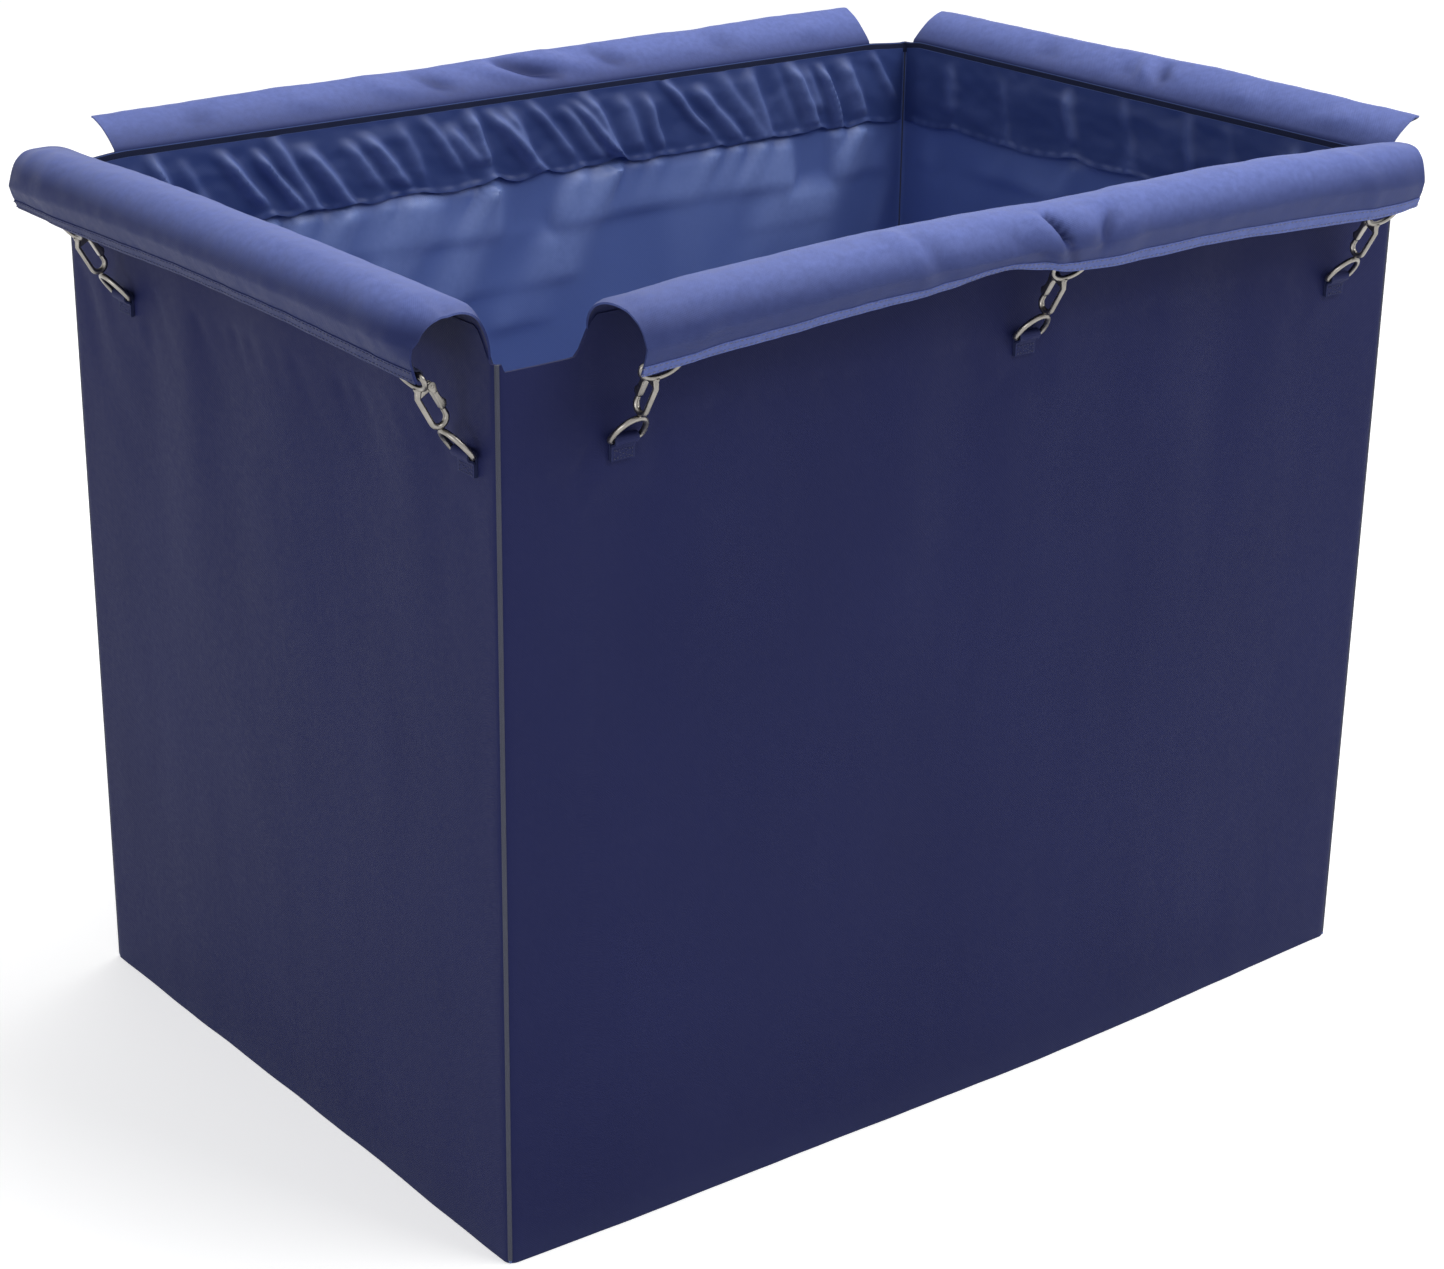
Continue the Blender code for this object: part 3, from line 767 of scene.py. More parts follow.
def makeFacing(side):
    half = sideSpan(side) / 2 - facing["endGap"]
    columns = round(2 * half / facing["columnPitch"])
    seed = 1.7 + turns[side] / 53.0

    def place(u, v):
        along = half * (2 * u - 1)
        down = 1 - v
        fade = smoothStep((half - abs(along)) / facing["endFade"])
        # each gather is a ridge, steep on one flank
        ridges = 0.0
        lifted = 0.0
        for spot in gathers[side]:
            miss = (along + spot["slant"] * down - spot["along"]) / spot["width"]
            if abs(miss) > 8:
                continue
            wander = miss + 0.8 * ripple(along * 14, down * 1.8, seed + 2)
            flank = wander / (0.8 if wander < 0 else 1.5)
            swell = smoothStep((down - spot["start"]) / 0.26)
            swell *= 1 - 0.75 * smoothStep((down - spot["end"] + 0.12) / 0.2)
            ridges += spot["share"] * swell * exp(-flank * flank)
            lifted += spot["share"] * exp(-miss * miss / 4)
        depth = puckers[side]["depth"] * fade * min(1.3, ridges)
        loose = 0.6 + ripple(along * 22, down * 2.6, seed + 8)
        depth += facing["soft"] * fade * smoothStep(down / 0.3) * loose
        depth += facing["crinkle"] * fade * (1 + ripple(along * 75, down * 7, seed + 5))
        # the lower seam pulls in small tucks and rides up at the gathers
        seam = smoothStep((down - facing["seamStart"]) / facing["seamFade"])
        tuck = 0.5 + 0.5 * sin(along * facing["tuckWaves"] + 5 * ripple(along * 24, 0, seed))
        depth += seam * fade * (facing["seamDepth"] + facing["tuckDepth"] * tuck)
        up = rimHeight(side, along) - facing["top"] - (facing["height"] - facing["top"]) * down
        sway = facing["seamWander"] * ripple(along * 17, 0.3, seed + 9)
        rise = down ** 3 * (facing["gatherRise"] * lifted - facing["sag"] + sway)
        up += rise + facing["tuckRise"] * seam * tuck
        return sidePoint(side, along, -(bag["cloth"] + facing["standOff"] + max(0.0, depth)), up)

    size = (2 * half * facing["gather"], facing["height"])
    piece = clothGrid(f"{side}Facing", columns, facing["rows"], place, size)
    inner = sideDepth(side) - bag["cloth"] - facing["standOff"]

    def wearAndPaintedLight(co):
        # the gathers' ridges that stand in get a painted highlight
        return smoothStep((inner + (toSide[side] @ co).y - facing["paintedHighlightStart"]) / facing["paintedHighlightSpan"])

    sew(piece, ("facingCloth",), facing["cloth"], 0, wearAndPaintedLight, inwards)
    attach(piece, "bag")
    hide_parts(f"{side}_facing")


for sideName in turns:
    makeFacing(sideName)
print("facings made")

# rim flaps: each leaves the rim, rolls over and hangs to its hem

# the flap's painted highlight peaks at its crest, and painted shade darkens its folds' valleys
flap = {"cloth": 0.0014, "reach": 0.0548, "crestOut": 0.031, "shoulder": 0.025, "tuck": 0.0070,
        "sink": 0.0070, "inset": 0.00125, "lift": 0.0014, "pitch": 0.0034, "rows": 60, "clothLength": 0.115,
        "hemHeight": 0.0095, "hemCloth": 0.0010, "hemLift": 0.0008, "hemRows": 5, "sectionLength": 0.125,
        "stitchRows": (0.22, 0.82), "stitchLift": 0.0014, "crinkle": 0.00035, "bend": (-0.0012, 0.0085),
        "rollOut": 0.026, "rollDrop": 0.02, "paintedHighlightMost": 0.93, "valley": 0.0065, "valleyShade": 0.8}
# where down the cloth the root ends, the crest lies and the shoulder ends, and how long each part is
flapParts = {"root": 0.06, "rise": 0.34, "crest": 0.4, "roll": 0.4, "shoulder": 0.8, "hang": 0.2}
# crumples: height, waves along, waves down, seed step
flapWaves = ((0.0016, 12, 2.2, 0), (0.0009, 31, 4.5, 4))
# cloth lies flat over the webbing of a hook
webHold = {"start": 0.70, "fade": 0.12, "half": 0.013, "edge": 0.010, "least": 0.0003, "share": 0.25}
hemThread = {"length": 0.0030, "radius": 0.00038, "pitch": 0.0041}
# each shape's crest painted highlight is given as start above the rim, span and least share, and its hem
# strip's painted highlight as one share
# what the two far flaps share
farFlap = {"curls": (0.0003, 0.0003), "cut": 0.040, "flat": 0.9, "paintedLightAndRub": (-0.006, 0.030, 0.07),
           "hemPaintedHighlight": 0.30, "crumple": 0.7}
flapShapes = {
    "front": {
        "ends": (-0.333, 0.372), "curls": (0.0026, 0.0026), "cut": 0.005, "flat": 0.0,
        "paintedLightAndRub": (-0.002, 0.028, 0.19), "hemPaintedHighlight": 0.80, "crumple": 0.8,
        "crest": ((-0.333, 0.0140), (-0.24, 0.0200), (-0.14, 0.0245), (-0.03, 0.0252), (0.03, 0.0228),
                  (0.10, 0.0245), (0.22, 0.0246), (0.372, 0.0190)),
        "hem": ((-0.333, -0.0285), (-0.309, -0.0268), (-0.20, -0.0200), (-0.09, -0.0140), (-0.038, -0.0085),
                (-0.002, -0.0140), (0.0273, -0.0188), (0.07, -0.0205), (0.16, -0.0205), (0.338, -0.0266),
                (0.372, -0.0245)),
        # folds: from (along, down), to (along, down), width, height
        "folds": ((0.003, 0.55, 0.0265, 0.97, 0.0046, -0.0088), (-0.014, 0.55, 0.0160, 0.97, 0.0075, 0.0036),
                  (0.026, 0.56, 0.0400, 0.85, 0.0085, 0.0036), (0.058, 0.57, 0.0375, 0.92, 0.0064, -0.0046),
                  (-0.042, 0.60, 0.0120, 0.97, 0.0090, -0.0022), (0.080, 0.42, 0.0700, 0.92, 0.0110, 0.0020),
                  (-0.128, 0.45, -0.106, 0.90, 0.0090, 0.0026), (-0.112, 0.42, -0.090, 0.85, 0.0100, -0.0022),
                  (0.290, 0.42, 0.325, 0.95, 0.0110, 0.0020), (-0.270, 0.50, -0.300, 0.95, 0.0110, 0.0018)),
    },
    "right": {
        **farFlap, "ends": (-0.263, 0.263),
        "crest": ((-0.263, 0.0225), (-0.1, 0.0235), (0.05, 0.0220), (0.263, 0.0200)),
        "hem": ((-0.263, -0.0245), (-0.205, -0.0262), (0.0, -0.0160), (0.205, -0.0262), (0.263, -0.0245)),
        "folds": ((-0.120, 0.08, -0.095, 0.30, 0.013, 0.0022), (0.100, 0.10, 0.125, 0.32, 0.013, -0.0024),
                  (0.010, 0.10, 0.030, 0.30, 0.012, -0.0020), (-0.190, 0.12, -0.230, 0.30, 0.014, 0.0018),
                  (-0.004, 0.13, 0.008, 0.33, 0.0060, 0.0026), (-0.024, 0.13, -0.012, 0.34, 0.0075, -0.0040)),
    },
    "back": {
        **farFlap, "ends": (-0.357, 0.360),
        "crest": ((-0.357, 0.0240), (-0.18, 0.0225), (0.0, 0.0225), (0.12, 0.0200), (0.360, 0.0190)),
        "hem": ((-0.357, -0.0245), (-0.295, -0.0262), (-0.15, -0.0150), (0.0, -0.0262), (0.15, -0.0150),
                (0.295, -0.0262), (0.360, -0.0245)),
        "folds": ((-0.036, 0.13, 0.006, 0.34, 0.0085, -0.0084), (0.000, 0.14, 0.034, 0.33, 0.0080, 0.0034),
                  (-0.064, 0.14, -0.036, 0.33, 0.0085, 0.0030), (0.060, 0.12, 0.085, 0.33, 0.010, -0.0042),
                  (-0.108, 0.12, -0.080, 0.32, 0.010, -0.0038), (0.108, 0.14, 0.130, 0.34, 0.010, 0.0032),
                  (0.180, 0.10, 0.205, 0.32, 0.015, 0.0026), (-0.220, 0.10, -0.200, 0.30, 0.015, -0.0026),
                  (0.290, 0.12, 0.275, 0.31, 0.014, -0.0026), (-0.310, 0.12, -0.290, 0.30, 0.014, 0.0020)),
    },
    "left": {
        "ends": (-0.259, 0.267), "curls": (0.0026, 0.0075), "cut": 0.005, "flat": 0.0,
        "paintedLightAndRub": (0.001, 0.023, 0.02), "hemPaintedHighlight": 0.0, "crumple": 0.4,
        "crest": ((-0.259, 0.0150), (-0.1, 0.0200), (0.08, 0.0215), (0.267, 0.0195)),
        "hem": ((-0.259, -0.0262), (-0.188, -0.0266), (0.03, -0.0225), (0.2455, -0.0266), (0.267, -0.0268)),
        "folds": ((-0.215, 0.45, -0.190, 0.92, 0.012, 0.0014), (0.205, 0.55, 0.240, 0.95, 0.012, 0.0012)),
    },
}


def foldHeight(folds, along, down):
    # soft ridges and valleys, each along a short line
    total = 0.0
    for a0, d0, a1, d1, width, height in folds:
        scale = flap["clothLength"]
        line = Vector((a1 - a0, (d1 - d0) * scale))
        reach = Vector((along - a0, (down - d0) * scale))
        part = min(1.0, max(0.0, reach.dot(line) / line.length_squared))
        miss = (reach - line * part).length
        taper = 0.35 + 0.65 * sin(pi * (0.1 + 0.8 * part))
        total += height * taper * exp(-((miss / width) ** 2))
    return total


def flapSection(down, crest, hem, root, flat):
    # outward and upward place on the flap, from inside the rim at 0 to the hem at 1
    if down < flapParts["root"]:
        return 0.0, root - flap["sink"] * (1 - down / flapParts["root"])
    if down < flapParts["crest"]:
        share = (down - flapParts["root"]) / flapParts["rise"]
        angle = pi / 2 * share
        out = (1 - cos(angle)) * (1 - flat) + share * flat
        rise = sin(angle) * (1 - flat) + (share * (2 - share) * 0.4 + share * 0.6) * flat
        return flap["crestOut"] * out, root + (crest - root) * rise
    shoulder = crest - flap["shoulder"]
    if down < flapParts["shoulder"]:
        angle = pi / 2 * (down - flapParts["crest"]) / flapParts["roll"]
        out = flap["crestOut"] + (flap["reach"] - flap["crestOut"]) * sin(angle)
        return out, shoulder + flap["shoulder"] * cos(angle)
    share = (down - flapParts["shoulder"]) / flapParts["hang"]
    return flap["reach"] - flap["tuck"] * share, shoulder + (hem - shoulder) * share


def flapDown(side, along, out, up):
    # how far down the flap's cloth a place lies, from its rim at 0 to its hem at 1
    shape = flapShapes[side]
    shoulder = alongStops(shape["crest"], along) - flap["shoulder"]
    if out < flap["crestOut"] and up > shoulder:
        return flapParts["root"] + flapParts["rise"] * max(0.0, out) / flap["crestOut"]
    if up > shoulder:
        angle = acos(min(1.0, (up - shoulder) / flap["shoulder"]))
        return flapParts["crest"] + flapParts["roll"] * angle / (pi / 2)
    drop = (shoulder - up) / (shoulder - alongStops(shape["hem"], along))
    return flapParts["shoulder"] + flapParts["hang"] * min(1.0, drop)


def hemLean(side, along):
    # how far the hem leans in towards the wall
    shape = flapShapes[side]
    drop = alongStops(shape["crest"], along) - flap["shoulder"] - alongStops(shape["hem"], along)
    return atan2(flap["tuck"], drop)


def flapEdge(side, u, down):
    # the free ends are cut back from the crest to the hem
    first, last = flapShapes[side]["ends"]
    middle = (first + last) / 2
    half = (last - first) / 2
    cutBack = flapShapes[side]["cut"] * smoothStep((down - 0.41) / 0.45)
    return middle + (2 * u - 1) * (half - cutBack)


def flapPoint(side, u, down, lift=0.0):
    # a place on the flap, u from end to end and down from the rim to the hem
    shape = flapShapes[side]
    first, last = shape["ends"]
    along = flapEdge(side, u, down)
    seed = 3.1 + turns[side] / 41.0
    crest = alongStops(shape["crest"], along)
    hem = alongStops(shape["hem"], along)
    root = rimHeight(side, along) - bag["height"]
    out, up = flapSection(down, crest, hem, root, shape["flat"])
    out2, up2 = flapSection(min(1.0, down + 0.01), crest, hem, root, shape["flat"])
    out1, up1 = flapSection(max(0.0, down - 0.01), crest, hem, root, shape["flat"])
    normal = Vector((-(up2 - up1), out2 - out1)).normalized()
    free = smoothStep((down - 0.08) / 0.14)
    bulk = foldHeight(shape["folds"], along, down)
    crumple = 0.0
    for height, waves, fall, step in flapWaves:
        crumple += height * ripple(along * waves, down * fall, seed + step)
    bulk += shape["crumple"] * crumple
    bulk += flap["crinkle"] * ripple(along * 80, down * 12, seed + 6)
    near = min(abs(along - spot.x) for spot in hookSpots[side])
    held = smoothStep((down - webHold["start"]) / webHold["fade"])
    held *= 1 - smoothStep((near - webHold["half"]) / webHold["edge"])
    bulk = bulk * (1 - held) + held * (webHold["least"] + webHold["share"] * max(0.0, bulk))
    # the free ends curl in a little
    firstCurl, lastCurl = shape["curls"]
    curl = firstCurl * (1 - smoothStep((along - first) / 0.022))
    curl += lastCurl * (1 - smoothStep((last - along) / 0.030))
    curl *= smoothStep((down - 0.2) / 0.2) * (1 - smoothStep((down - 0.72) / 0.18))
    move = (bulk - curl) * free + lift
    level = bag["height"] + flap["lift"] + up
    return sidePoint(side, along, out - flap["inset"] + normal.x * move, level + normal.y * move)


def makeFlap(side):
    shape = flapShapes[side]
    first, last = shape["ends"]
    columns = round((last - first) / flap["pitch"])

    def place(u, v):
        return flapPoint(side, u, 1 - v)

    piece = clothGrid(f"{side}Flap", columns, flap["rows"], place, (last - first, flap["clothLength"]))
    middle = sidePoint(side, 0, flap["rollOut"], bag["height"] - flap["rollDrop"])
    axis = sideTurn(side) @ Vector((1, 0, 0))

    def outward(centre):
        reach = centre - middle
        return reach - axis * reach.dot(axis)

    paintedHighlightLow, paintedHighlightSpan, paintedHighlightLeast = shape["paintedLightAndRub"]
    paintedHighlightFoot = bag["height"] + paintedHighlightLow

    def wearAndPaintedLight(co):
        # painted highlight towards the crest, with more painted light low on the front flap than on the
        # others, and painted shade in the folds' valleys
        spot = toSide[side] @ co
        down = flapDown(side, spot.x, -spot.y - sideDepth(side), spot.z - bag["height"])
        valley = smoothStep(-foldHeight(shape["folds"], spot.x, down) / flap["valley"])
        pale = paintedHighlightLeast + (flap["paintedHighlightMost"] - paintedHighlightLeast) * smoothStep((co.z - paintedHighlightFoot) / paintedHighlightSpan)
        return pale * (1 - flap["valleyShade"] * valley)

    sew(piece, ("flapCloth", "wallCloth"), flap["cloth"], 0, wearAndPaintedLight, outward)
    hinge = jointSpots[f"{side}_flap_fold"]
    # points between the rim and a little way out on the flap, where the cloth bends; nothing uses them
    bendStart, bendEnd = (sidePoint(side, 0, out, hinge.z) for out in flap["bend"])
    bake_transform(piece)
    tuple(bendStart)
    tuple(bendEnd)
    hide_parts(f"{side}_flap")

    # a turned-up hem along the lower edge, with two rows of stitches
    hemPart = flap["hemHeight"] / flap["sectionLength"]

    def placeHem(u, v):
        return flapPoint(side, u, 1 - v * hemPart, flap["hemLift"])

    hem = clothGrid(f"{side}Hem", columns, flap["hemRows"], placeHem, (last - first, flap["hemHeight"]))
    # the hem strip gets a painted highlight, strongest on the front flap and none on the left
    sew(hem, ("flapCloth",), flap["hemCloth"], 0, lambda co: shape["hemPaintedHighlight"], outward)
    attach(hem, f"flap_{side}")
    rows = []
    steps = columns * 2
    for number, part in enumerate(flap["stitchRows"]):
        down = 1 - part * hemPart
        points = [flapPoint(side, step / steps, down, flap["stitchLift"]) for step in range(steps + 1)]
        rows.append(stitchRow(f"{side}HemStitch{number}", points, hemThread))
    stitches = joinPieces(rows, f"{side}HemStitches")
    # one thread in two colours: painted pale as lit on the front flap, and painted dark as shaded on the
    # other flaps
    dress(stitches, "paleThread" if side == "front" else "thread")
    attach(stitches, f"flap_{side}")


for sideName in turns:
    makeFlap(sideName)
print("flaps made")

# snap hooks, gates, rings and their webbing, each made once and copied

hook = {"eyeHalf": 0.01505, "eyeDepth": 0.0135, "eyeWire": 0.00175, "eyeCorner": 0.0028, "eyeSteps": 24,
        "wire": 0.0019, "length": 0.0464, "bowl": 0.0055, "bowlSteps": 18, "spineOut": 0.0035,
        "noseRise": 0.0035, "neckDrop": 0.0190, "neck": ((0, 0.0004), (-0.0004, -0.0020), (-0.0018, -0.0038)),
        "lugWidth": 0.0024, "lugBack": 0.0006, "lugNose": 0.0019, "lugDown": 0.0026, "lugUp": 0.0024,
        "lugRise": 0.0030, "lugRound": 0.0008, "pinDrop": 0.0180, "pin": 0.0011, "pinProud": 0.0008,
        "gateWidth": 0.0054, "gateThick": 0.0036, "gateHead": 0.0028, "gateTop": -0.0030, "gateGap": 0.00035,
        "gateRound": 0.0007, "thumb": 0.0022, "cheekCut": -0.0012, "cheekDrop": 0.0022, "cheekRound": 0.00025}
ring = {"half": 0.0120, "height": 0.0214, "wire": 0.0020, "corner": 0.0026, "steps": 30, "lean": 40.0}
web = {"cloth": 0.0014, "edge": 0.0015, "columns": 16, "arcSteps": 14}
# straps folded round a bar: a straight back, an arc, a pinch and a tail, as (y, z) or z, step and count
straps = {
    "tabForm": {"loop": 0.0032, "backOut": 0.0032, "back": (-0.0138, 0.0023, 6), "arc": (18, 270),
                "pinch": ((0.0010, -0.0040), (0.0017, -0.0056)), "tailOut": 0.0018,
                "tail": (-0.0070, -0.0017, 5), "half": 0.0090, "thickness": 0.94, "cloth": "wallCloth"},
    "flapLoopForm": {"loop": 0.00295, "backOut": -0.00295, "back": (0.0110, -0.0018, 7), "arc": (198, 450),
                     "pinch": ((-0.0010, 0.0038), (-0.0015, 0.0052)), "tailOut": -0.0016,
                     "tail": (0.0066, 0.0014, 4), "half": 0.0120, "thickness": 0.9, "cloth": "webbing"},
}
tabStitch = {"out": 0.00105, "low": -0.0125, "high": -0.0070, "inset": 0.0022, "steps": 8,
             "thread": {"length": 0.0018, "radius": 0.00030, "pitch": 0.0025}}
roundLimit = radians(35)
roundSmooth = radians(40)


def arcPoints(centre, radius, start, end, steps):
    angles = [radians(start + (end - start) * step / steps) for step in range(steps + 1)]
    return [(centre[0] + radius * cos(angle), centre[1] + radius * sin(angle)) for angle in angles]


def bevelled(piece, width, segments=3):
    bevel = piece.modifiers.new("round", "BEVEL")
    bevel.width = width
    bevel.segments = segments
    bevel.limit_method = "ANGLE"
    bevel.angle_limit = roundLimit
    applyModifiers(piece)
    pickOnly(piece)
    bpy.ops.object.shade_smooth_by_angle(angle=roundSmooth)
    return piece


def block(name, low, high):
    deselectAll()
    bpy.ops.mesh.primitive_cube_add(size=1)
    piece = bpy.context.object
    piece.name = name
    for vert in piece.data.vertices:
        vert.co = [low[i] + (high[i] - low[i]) * (vert.co[i] + 0.5) for i in range(3)]
    return piece


def crossBar(name, spot, radius, width, vertices):
    # a round bar that lies across the hook
    deselectAll()
    bpy.ops.mesh.primitive_cylinder_add(vertices=vertices, radius=radius, depth=width, location=spot,
                                        rotation=(0, pi / 2, 0))
    piece = bpy.context.object
    piece.name = name
    bpy.ops.object.transform_apply()
    return piece


def dShape(half, corner, rise, steps):
    # a closed D: a straight bar with round corners, and a bow that goes up, or down where rise is negative
    hand = copysign(1, rise)
    bends = [(corner * sin(a), hand * corner * (1 - cos(a))) for a in (0.4, 0.8, 1.2)]
    line = [(-half + corner, 0, 0), (half - corner, 0, 0)]
    line += [(half - corner + x, 0, z) for x, z in bends]
    for step in range(steps + 1):
        angle = pi * step / steps
        line.append((half * cos(angle), 0, hand * (corner + (abs(rise) - corner) * sin(angle))))
    return line + [(-half + corner - x, 0, z) for x, z in reversed(bends)]


def makeHookForm():
    depth = hook["eyeDepth"]
    eye = dShape(hook["eyeHalf"], hook["eyeCorner"], -depth, hook["eyeSteps"])
    eyeWire = rod("eyeWire", eye, hook["eyeWire"], closed=True)
    centre = (hook["bowl"] - hook["spineOut"], hook["wire"] + hook["bowl"] - hook["length"])
    nose = 2 * hook["bowl"] - hook["spineOut"]
    steps = hook["bowlSteps"]
    line = [(y, -depth + z) for y, z in hook["neck"]] + [(-hook["spineOut"], -hook["neckDrop"] - 0.0008)]
    line += arcPoints(centre, hook["bowl"], 180, 360, steps)
    line.append((nose, centre[1] + hook["noseRise"]))
    radii = [1.25, 1.2, 1.1, 1.0]
    radii += [1.0 + 0.12 * sin(pi * step / steps) for step in range(steps + 1)] + [0.95]
    shank = rod("shank", [(0, *point) for point in line], hook["wire"], radii=radii)
    side = hook["lugWidth"] / 2
    lug = block("lug", (-side, -hook["spineOut"] + hook["lugBack"], -hook["pinDrop"] - hook["lugDown"]),
                (side, nose + hook["lugNose"], -hook["pinDrop"] + hook["lugUp"]))
    for vert in lug.data.vertices:
        if vert.co.z > -hook["pinDrop"] and vert.co.y < 0:
            vert.co.z += hook["lugRise"]
    bevelled(lug, hook["lugRound"])
    pin = crossBar("pin", (0, nose, -hook["pinDrop"]), hook["pin"], hook["gateWidth"] + hook["pinProud"], 20)
    bevelled(pin, hook["pin"] * 0.3)
    form = joinPieces([eyeWire, shank, lug, pin], "hookForm")
    dress(form, "nickel")
    return form


def makeGateForm():
    foot = hook["wire"] + hook["bowl"] - hook["length"] + hook["noseRise"] + hook["pinDrop"] + hook["gateGap"]
    top = hook["gateTop"]
    half = hook["gateThick"] / 2
    outer = hook["gateWidth"] / 2
    bar = block("bar", (-outer, -half, foot), (outer, half, top))
    editAll(bar, lambda: bpy.ops.mesh.subdivide(number_cuts=3))
    for vert in bar.data.vertices:
        share = (vert.co.z - foot) / (top - foot)
        if vert.co.y > half * 0.9:
            vert.co.y += hook["thumb"] * exp(-(((share - 0.25) / 0.2) ** 2))
        vert.co.x *= 0.82 + 0.18 * share
    bevelled(bar, hook["gateRound"])
    cheeks = []
    inner = hook["lugWidth"] / 2 + hook["gateGap"]
    for hand in (-1, 1):
        cheek = crossBar("cheek", (hand * (outer + inner) / 2, 0, 0), hook["gateHead"], outer - inner, 28)
        for vert in cheek.data.vertices:
            if vert.co.z < hook["cheekCut"]:
                vert.co.z -= hook["cheekDrop"]
                vert.co.y = max(-half, min(half, vert.co.y * 1.4))
        cheeks.append(bevelled(cheek, hook["cheekRound"], 2))
    form = joinPieces([bar, *cheeks], "gateForm")
    dress(form, "nickel")
    return form


def makeRingForm():
    points = dShape(ring["half"], ring["corner"], ring["height"], ring["steps"])
    form = rod("ringForm", points, ring["wire"], closed=True)
    dress(form, "nickel")
    return form


def makeStrap(name):
    strap = straps[name]
    half = strap["half"]
    start, pitch, count = strap["back"]
    line = [(strap["backOut"], start + pitch * step) for step in range(count)]
    line += arcPoints((0, 0), strap["loop"], *strap["arc"], web["arcSteps"])
    line += strap["pinch"]
    start, pitch, count = strap["tail"]
    line += [(strap["tailOut"], start + pitch * step) for step in range(count)]
    length = sum(dist(a, b) for a, b in zip(line, line[1:]))
    rows = len(line) - 1

    def place(u, v):
        y, z = line[round(v * rows)]
        return Vector(((2 * u - 1) * half, y, z))

    def wearAndPaintedLight(co):
        return 0.3 + 0.6 * smoothStep((abs(co.x) - half + web["edge"]) / web["edge"])

    piece = clothGrid(name, web["columns"], rows, place, (2 * half, length))
    sew(piece, (strap["cloth"],), web["cloth"] * strap["thickness"], 0, wearAndPaintedLight)
    return piece


def boxStitches(name):
    # a sewn box with a cross in it
    half = straps["tabForm"]["half"] - tabStitch["inset"]
    low, high, steps = tabStitch["low"], tabStitch["high"], tabStitch["steps"]
    ends = ((-half, low), (half, low), (half, high), (-half, high))
    corners = [Vector((x, tabStitch["out"], z)) for x, z in ends]
    rows = []
    for number, (a, b) in enumerate(((0, 1), (1, 2), (2, 3), (3, 0), (0, 2), (1, 3))):
        line = [corners[a].lerp(corners[b], step / steps) for step in range(steps + 1)]
        rows.append(stitchRow(f"{name}{number}", line, tabStitch["thread"]))
    piece = joinPieces(rows, name)
    dress(piece, "thread")
    return piece


def placeCopy(form, matrix, name, body, slot, node=None):
    copy = form.copy()
    copy.data = form.data.copy()
    nameIt(copy, name)
    bpy.context.scene.collection.objects.link(copy)
    copy.data.transform(matrix)
    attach(copy, body)
    if node:
        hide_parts(node)


hookForm = makeHookForm()
gateForm = makeGateForm()
ringForm = makeRingForm()
tabForm = makeStrap("tabForm")
flapLoopForm = makeStrap("flapLoopForm")
tabStitchForm = boxStitches("tabStitchForm")
gateSeat = Vector((0, 2 * hook["bowl"] - hook["spineOut"], -hook["pinDrop"]))
for sideName, count in hookCounts.items():
    turn = sideTurn(sideName)
    for number in range(1, count + 1):
        tag = f"{sideName}_{number}"
        eyeSpot = jointSpots[f"hook_{tag}_swing"]
        gateSpot = jointSpots[f"gate_{tag}_open"]
        barSpot = jointSpots[f"ring_{tag}_tilt"]
        reach = toSide[sideName] @ (gateSpot - eyeSpot)
        lean = atan2(reach.z, reach.y) - atan2(gateSeat.z, gateSeat.y)
        leanTurn = turn @ Matrix.Rotation(lean, 4, "X")
        loopTurn = turn @ Matrix.Rotation(hemLean(sideName, hookSpots[sideName][number - 1].x), 4, "X")
        ringTurn = turn @ Matrix.Rotation(radians(ring["lean"]), 4, "X")
        label = f"{sideName}{number}"
        copies = (
            (hookForm, eyeSpot, leanTurn, "snapHook", f"hook_{tag}", "nickel", f"snap_hook_{tag}"),
            (gateForm, gateSpot, leanTurn, "hookGate", f"gate_{tag}", "nickel", f"hook_gate_{tag}"),
            (ringForm, barSpot, ringTurn, "wallRing", f"ring_{tag}", "nickel", f"wall_ring_{tag}"),
            (tabForm, barSpot, turn, "ringTab", "bag", "navy_webbing", f"ring_tab_{tag}"),
            (tabStitchForm, barSpot, turn, "tabStitches", "bag", "navy_webbing"),
            (flapLoopForm, eyeSpot, loopTurn, "flapLoop", f"flap_{sideName}", "navy_webbing"),
        )
        for form, spot, formTurn, kind, *rest in copies:
            placeCopy(form, Matrix.Translation(spot) @ formTurn, f"{kind}_{label}", *rest)
for form in (hookForm, gateForm, ringForm, tabForm, flapLoopForm, tabStitchForm):
    bpy.data.objects.remove(form)
print("hooks, rings and tabs placed")

# camera at the photo's place

view = {"place": (-1.37485, -1.72863, 1.14824), "azimuth": 38.279, "elevation": 21.745, "roll": 0.769,
        "lens": 76.97, "sensor": 36, "far": 50}


def makeCamera():
    deselectAll()
    bpy.ops.object.camera_add(location=view["place"])
    camera = bpy.context.object
    camera.data.lens = view["lens"]
    camera.data.sensor_width = view["sensor"]
    camera.data.sensor_fit = "HORIZONTAL"
    camera.data.clip_end = view["far"]
    azimuth, elevation, roll = (radians(view[name]) for name in ("azimuth", "elevation", "roll"))
    steps = ((-azimuth, "Z"), (pi / 2 - elevation, "X"), (roll, "Z"))
    turn, tilt, spin = (Matrix.Rotation(angle, 3, axis) for angle, axis in steps)
    camera.rotation_euler = (turn @ tilt @ spin).to_euler()
    bpy.context.scene.camera = camera


makeCamera()

# pale floor, soft studio light

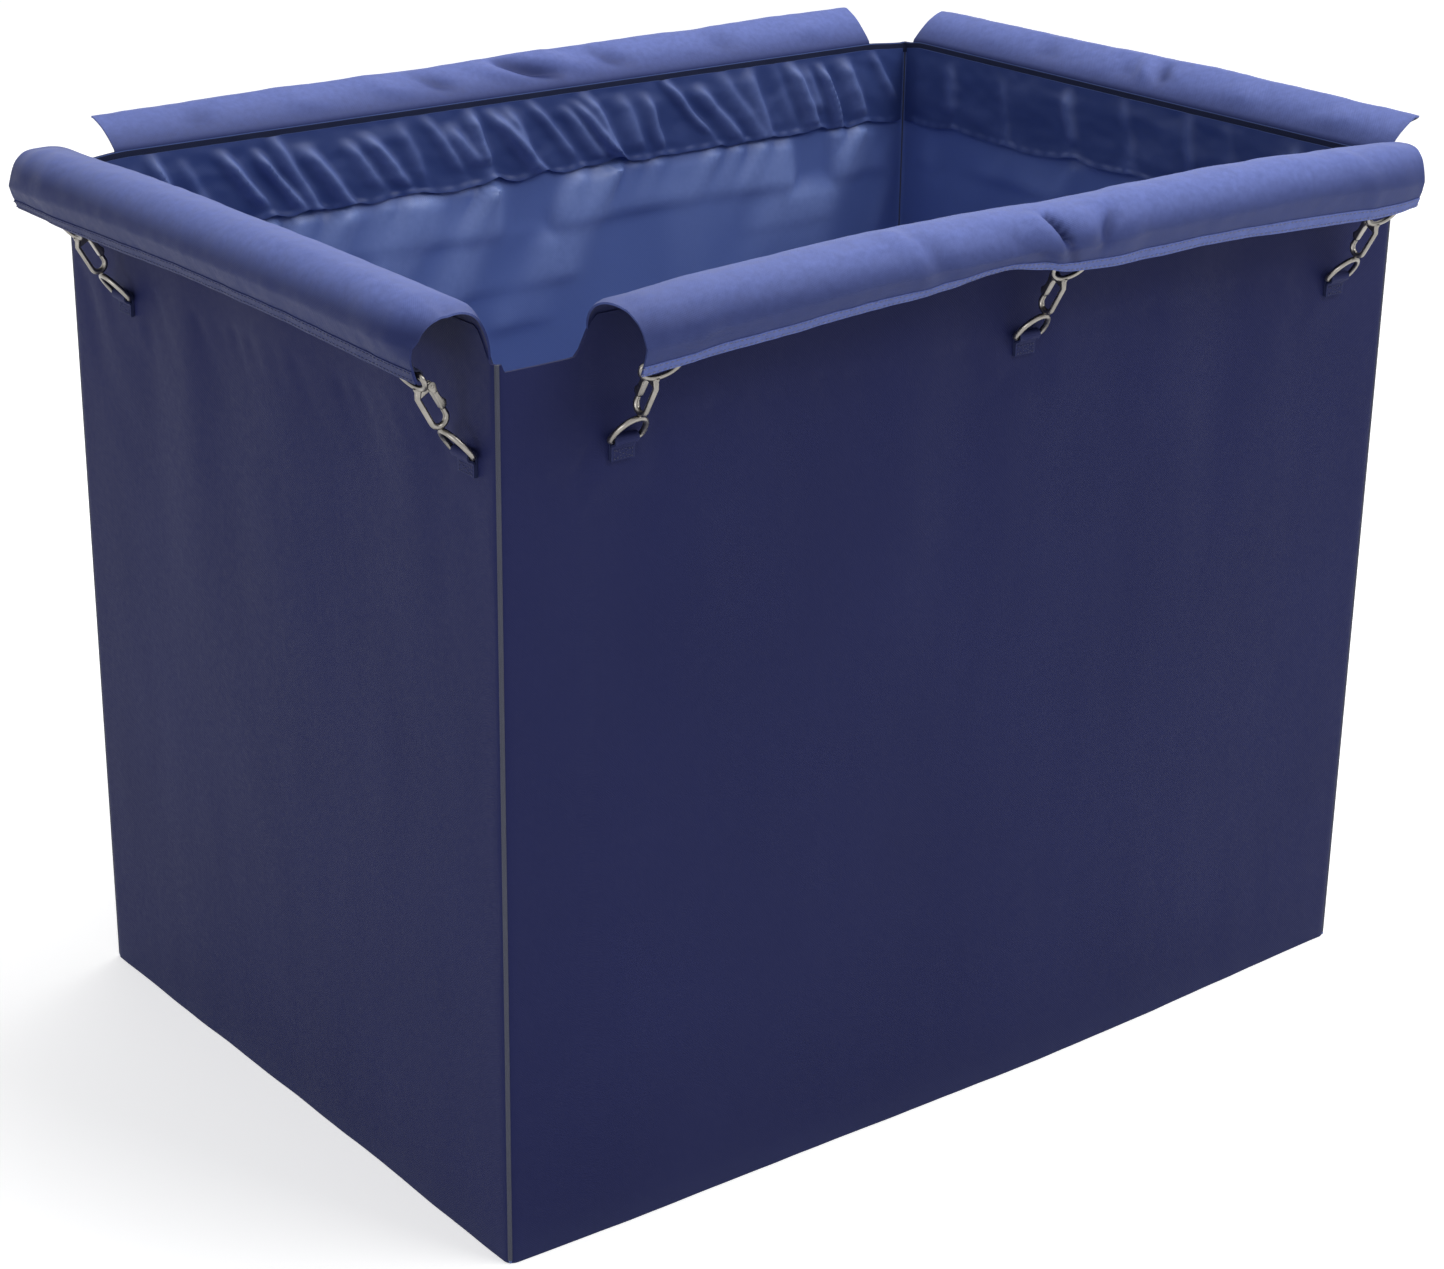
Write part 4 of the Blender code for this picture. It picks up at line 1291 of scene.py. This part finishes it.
studio = {"floor": 12.0, "floorLevel": -0.0004, "floorColour": (0.90, 0.90, 0.90), "floorRoughness": 0.9,
          "floorSpecular": 0.1, "floorGlow": 0.50, "worldLight": 0.48, "white": 1.0}
lamps = {
    "topBox": {"place": (0.9, 0.2, 3.2), "aim": (0, 0, 0.4), "size": (2.2, 2.0), "power": 46},
    "frontBox": {"place": (1.4, -2.4, 3.0), "aim": (0.0, 0.1, 0.5), "size": (2.0, 1.6), "power": 48},
    "leftBox": {"place": (-3.2, -1.0, 0.55), "aim": (0, 0, 0.35), "size": (1.6, 0.8), "power": 18.5},
}


def seenDirectly(tree):
    # 1 for what the camera sees, also by way of metal or glass
    paths = tree.nodes.new("ShaderNodeLightPath")
    seen = mathNode(tree, "MAXIMUM", paths.outputs["Is Camera Ray"], paths.outputs["Is Glossy Ray"])
    return mathNode(tree, "MAXIMUM", seen, paths.outputs["Is Transmission Ray"])


def makeStudio():
    deselectAll()
    bpy.ops.mesh.primitive_plane_add(size=studio["floor"], location=(0, 0, studio["floorLevel"]))
    bpy.ops.object.transform_apply()
    ground = bpy.context.object
    ground.name = "studioFloor"
    tree, shader = newMaterial("studioFloor")
    fill(tree, shader, {
        "Base Color": (*studio["floorColour"], 1), "Roughness": studio["floorRoughness"],
        "Specular IOR Level": studio["floorSpecular"], "Emission Color": (1, 1, 1, 1),
        "Emission Strength": mathNode(tree, "MULTIPLY", seenDirectly(tree), studio["floorGlow"]),
    })
    dress(ground, "studioFloor")
    world = bpy.data.worlds.new("studio")
    bpy.context.scene.world = world
    world.use_nodes = True
    tree = world.node_tree
    tree.nodes.clear()
    mix = tree.nodes.new("ShaderNodeMixShader")
    tree.links.new(seenDirectly(tree), mix.inputs[0])
    for number, strength in enumerate((studio["worldLight"], studio["white"]), 1):
        sky = addNode(tree, "ShaderNodeBackground", Color=(1, 1, 1, 1), Strength=strength)
        tree.links.new(sky.outputs[0], mix.inputs[number])
    output = tree.nodes.new("ShaderNodeOutputWorld")
    tree.links.new(mix.outputs[0], output.inputs[0])


def softBox(name, place, aim, size, power):
    deselectAll()
    bpy.ops.object.light_add(type="AREA", location=place)
    lamp = bpy.context.object
    lamp.name = name
    lamp.data.shape = "RECTANGLE"
    lamp.data.size = size[0]
    lamp.data.size_y = size[1]
    lamp.data.energy = power
    lamp.rotation_euler = (Vector(aim) - Vector(place)).to_track_quat("-Z", "Y").to_euler()


makeStudio()
for lampName, lampValues in lamps.items():
    softBox(lampName, **lampValues)
bpy.context.scene.view_settings.view_transform = "Standard"
print("studio made")
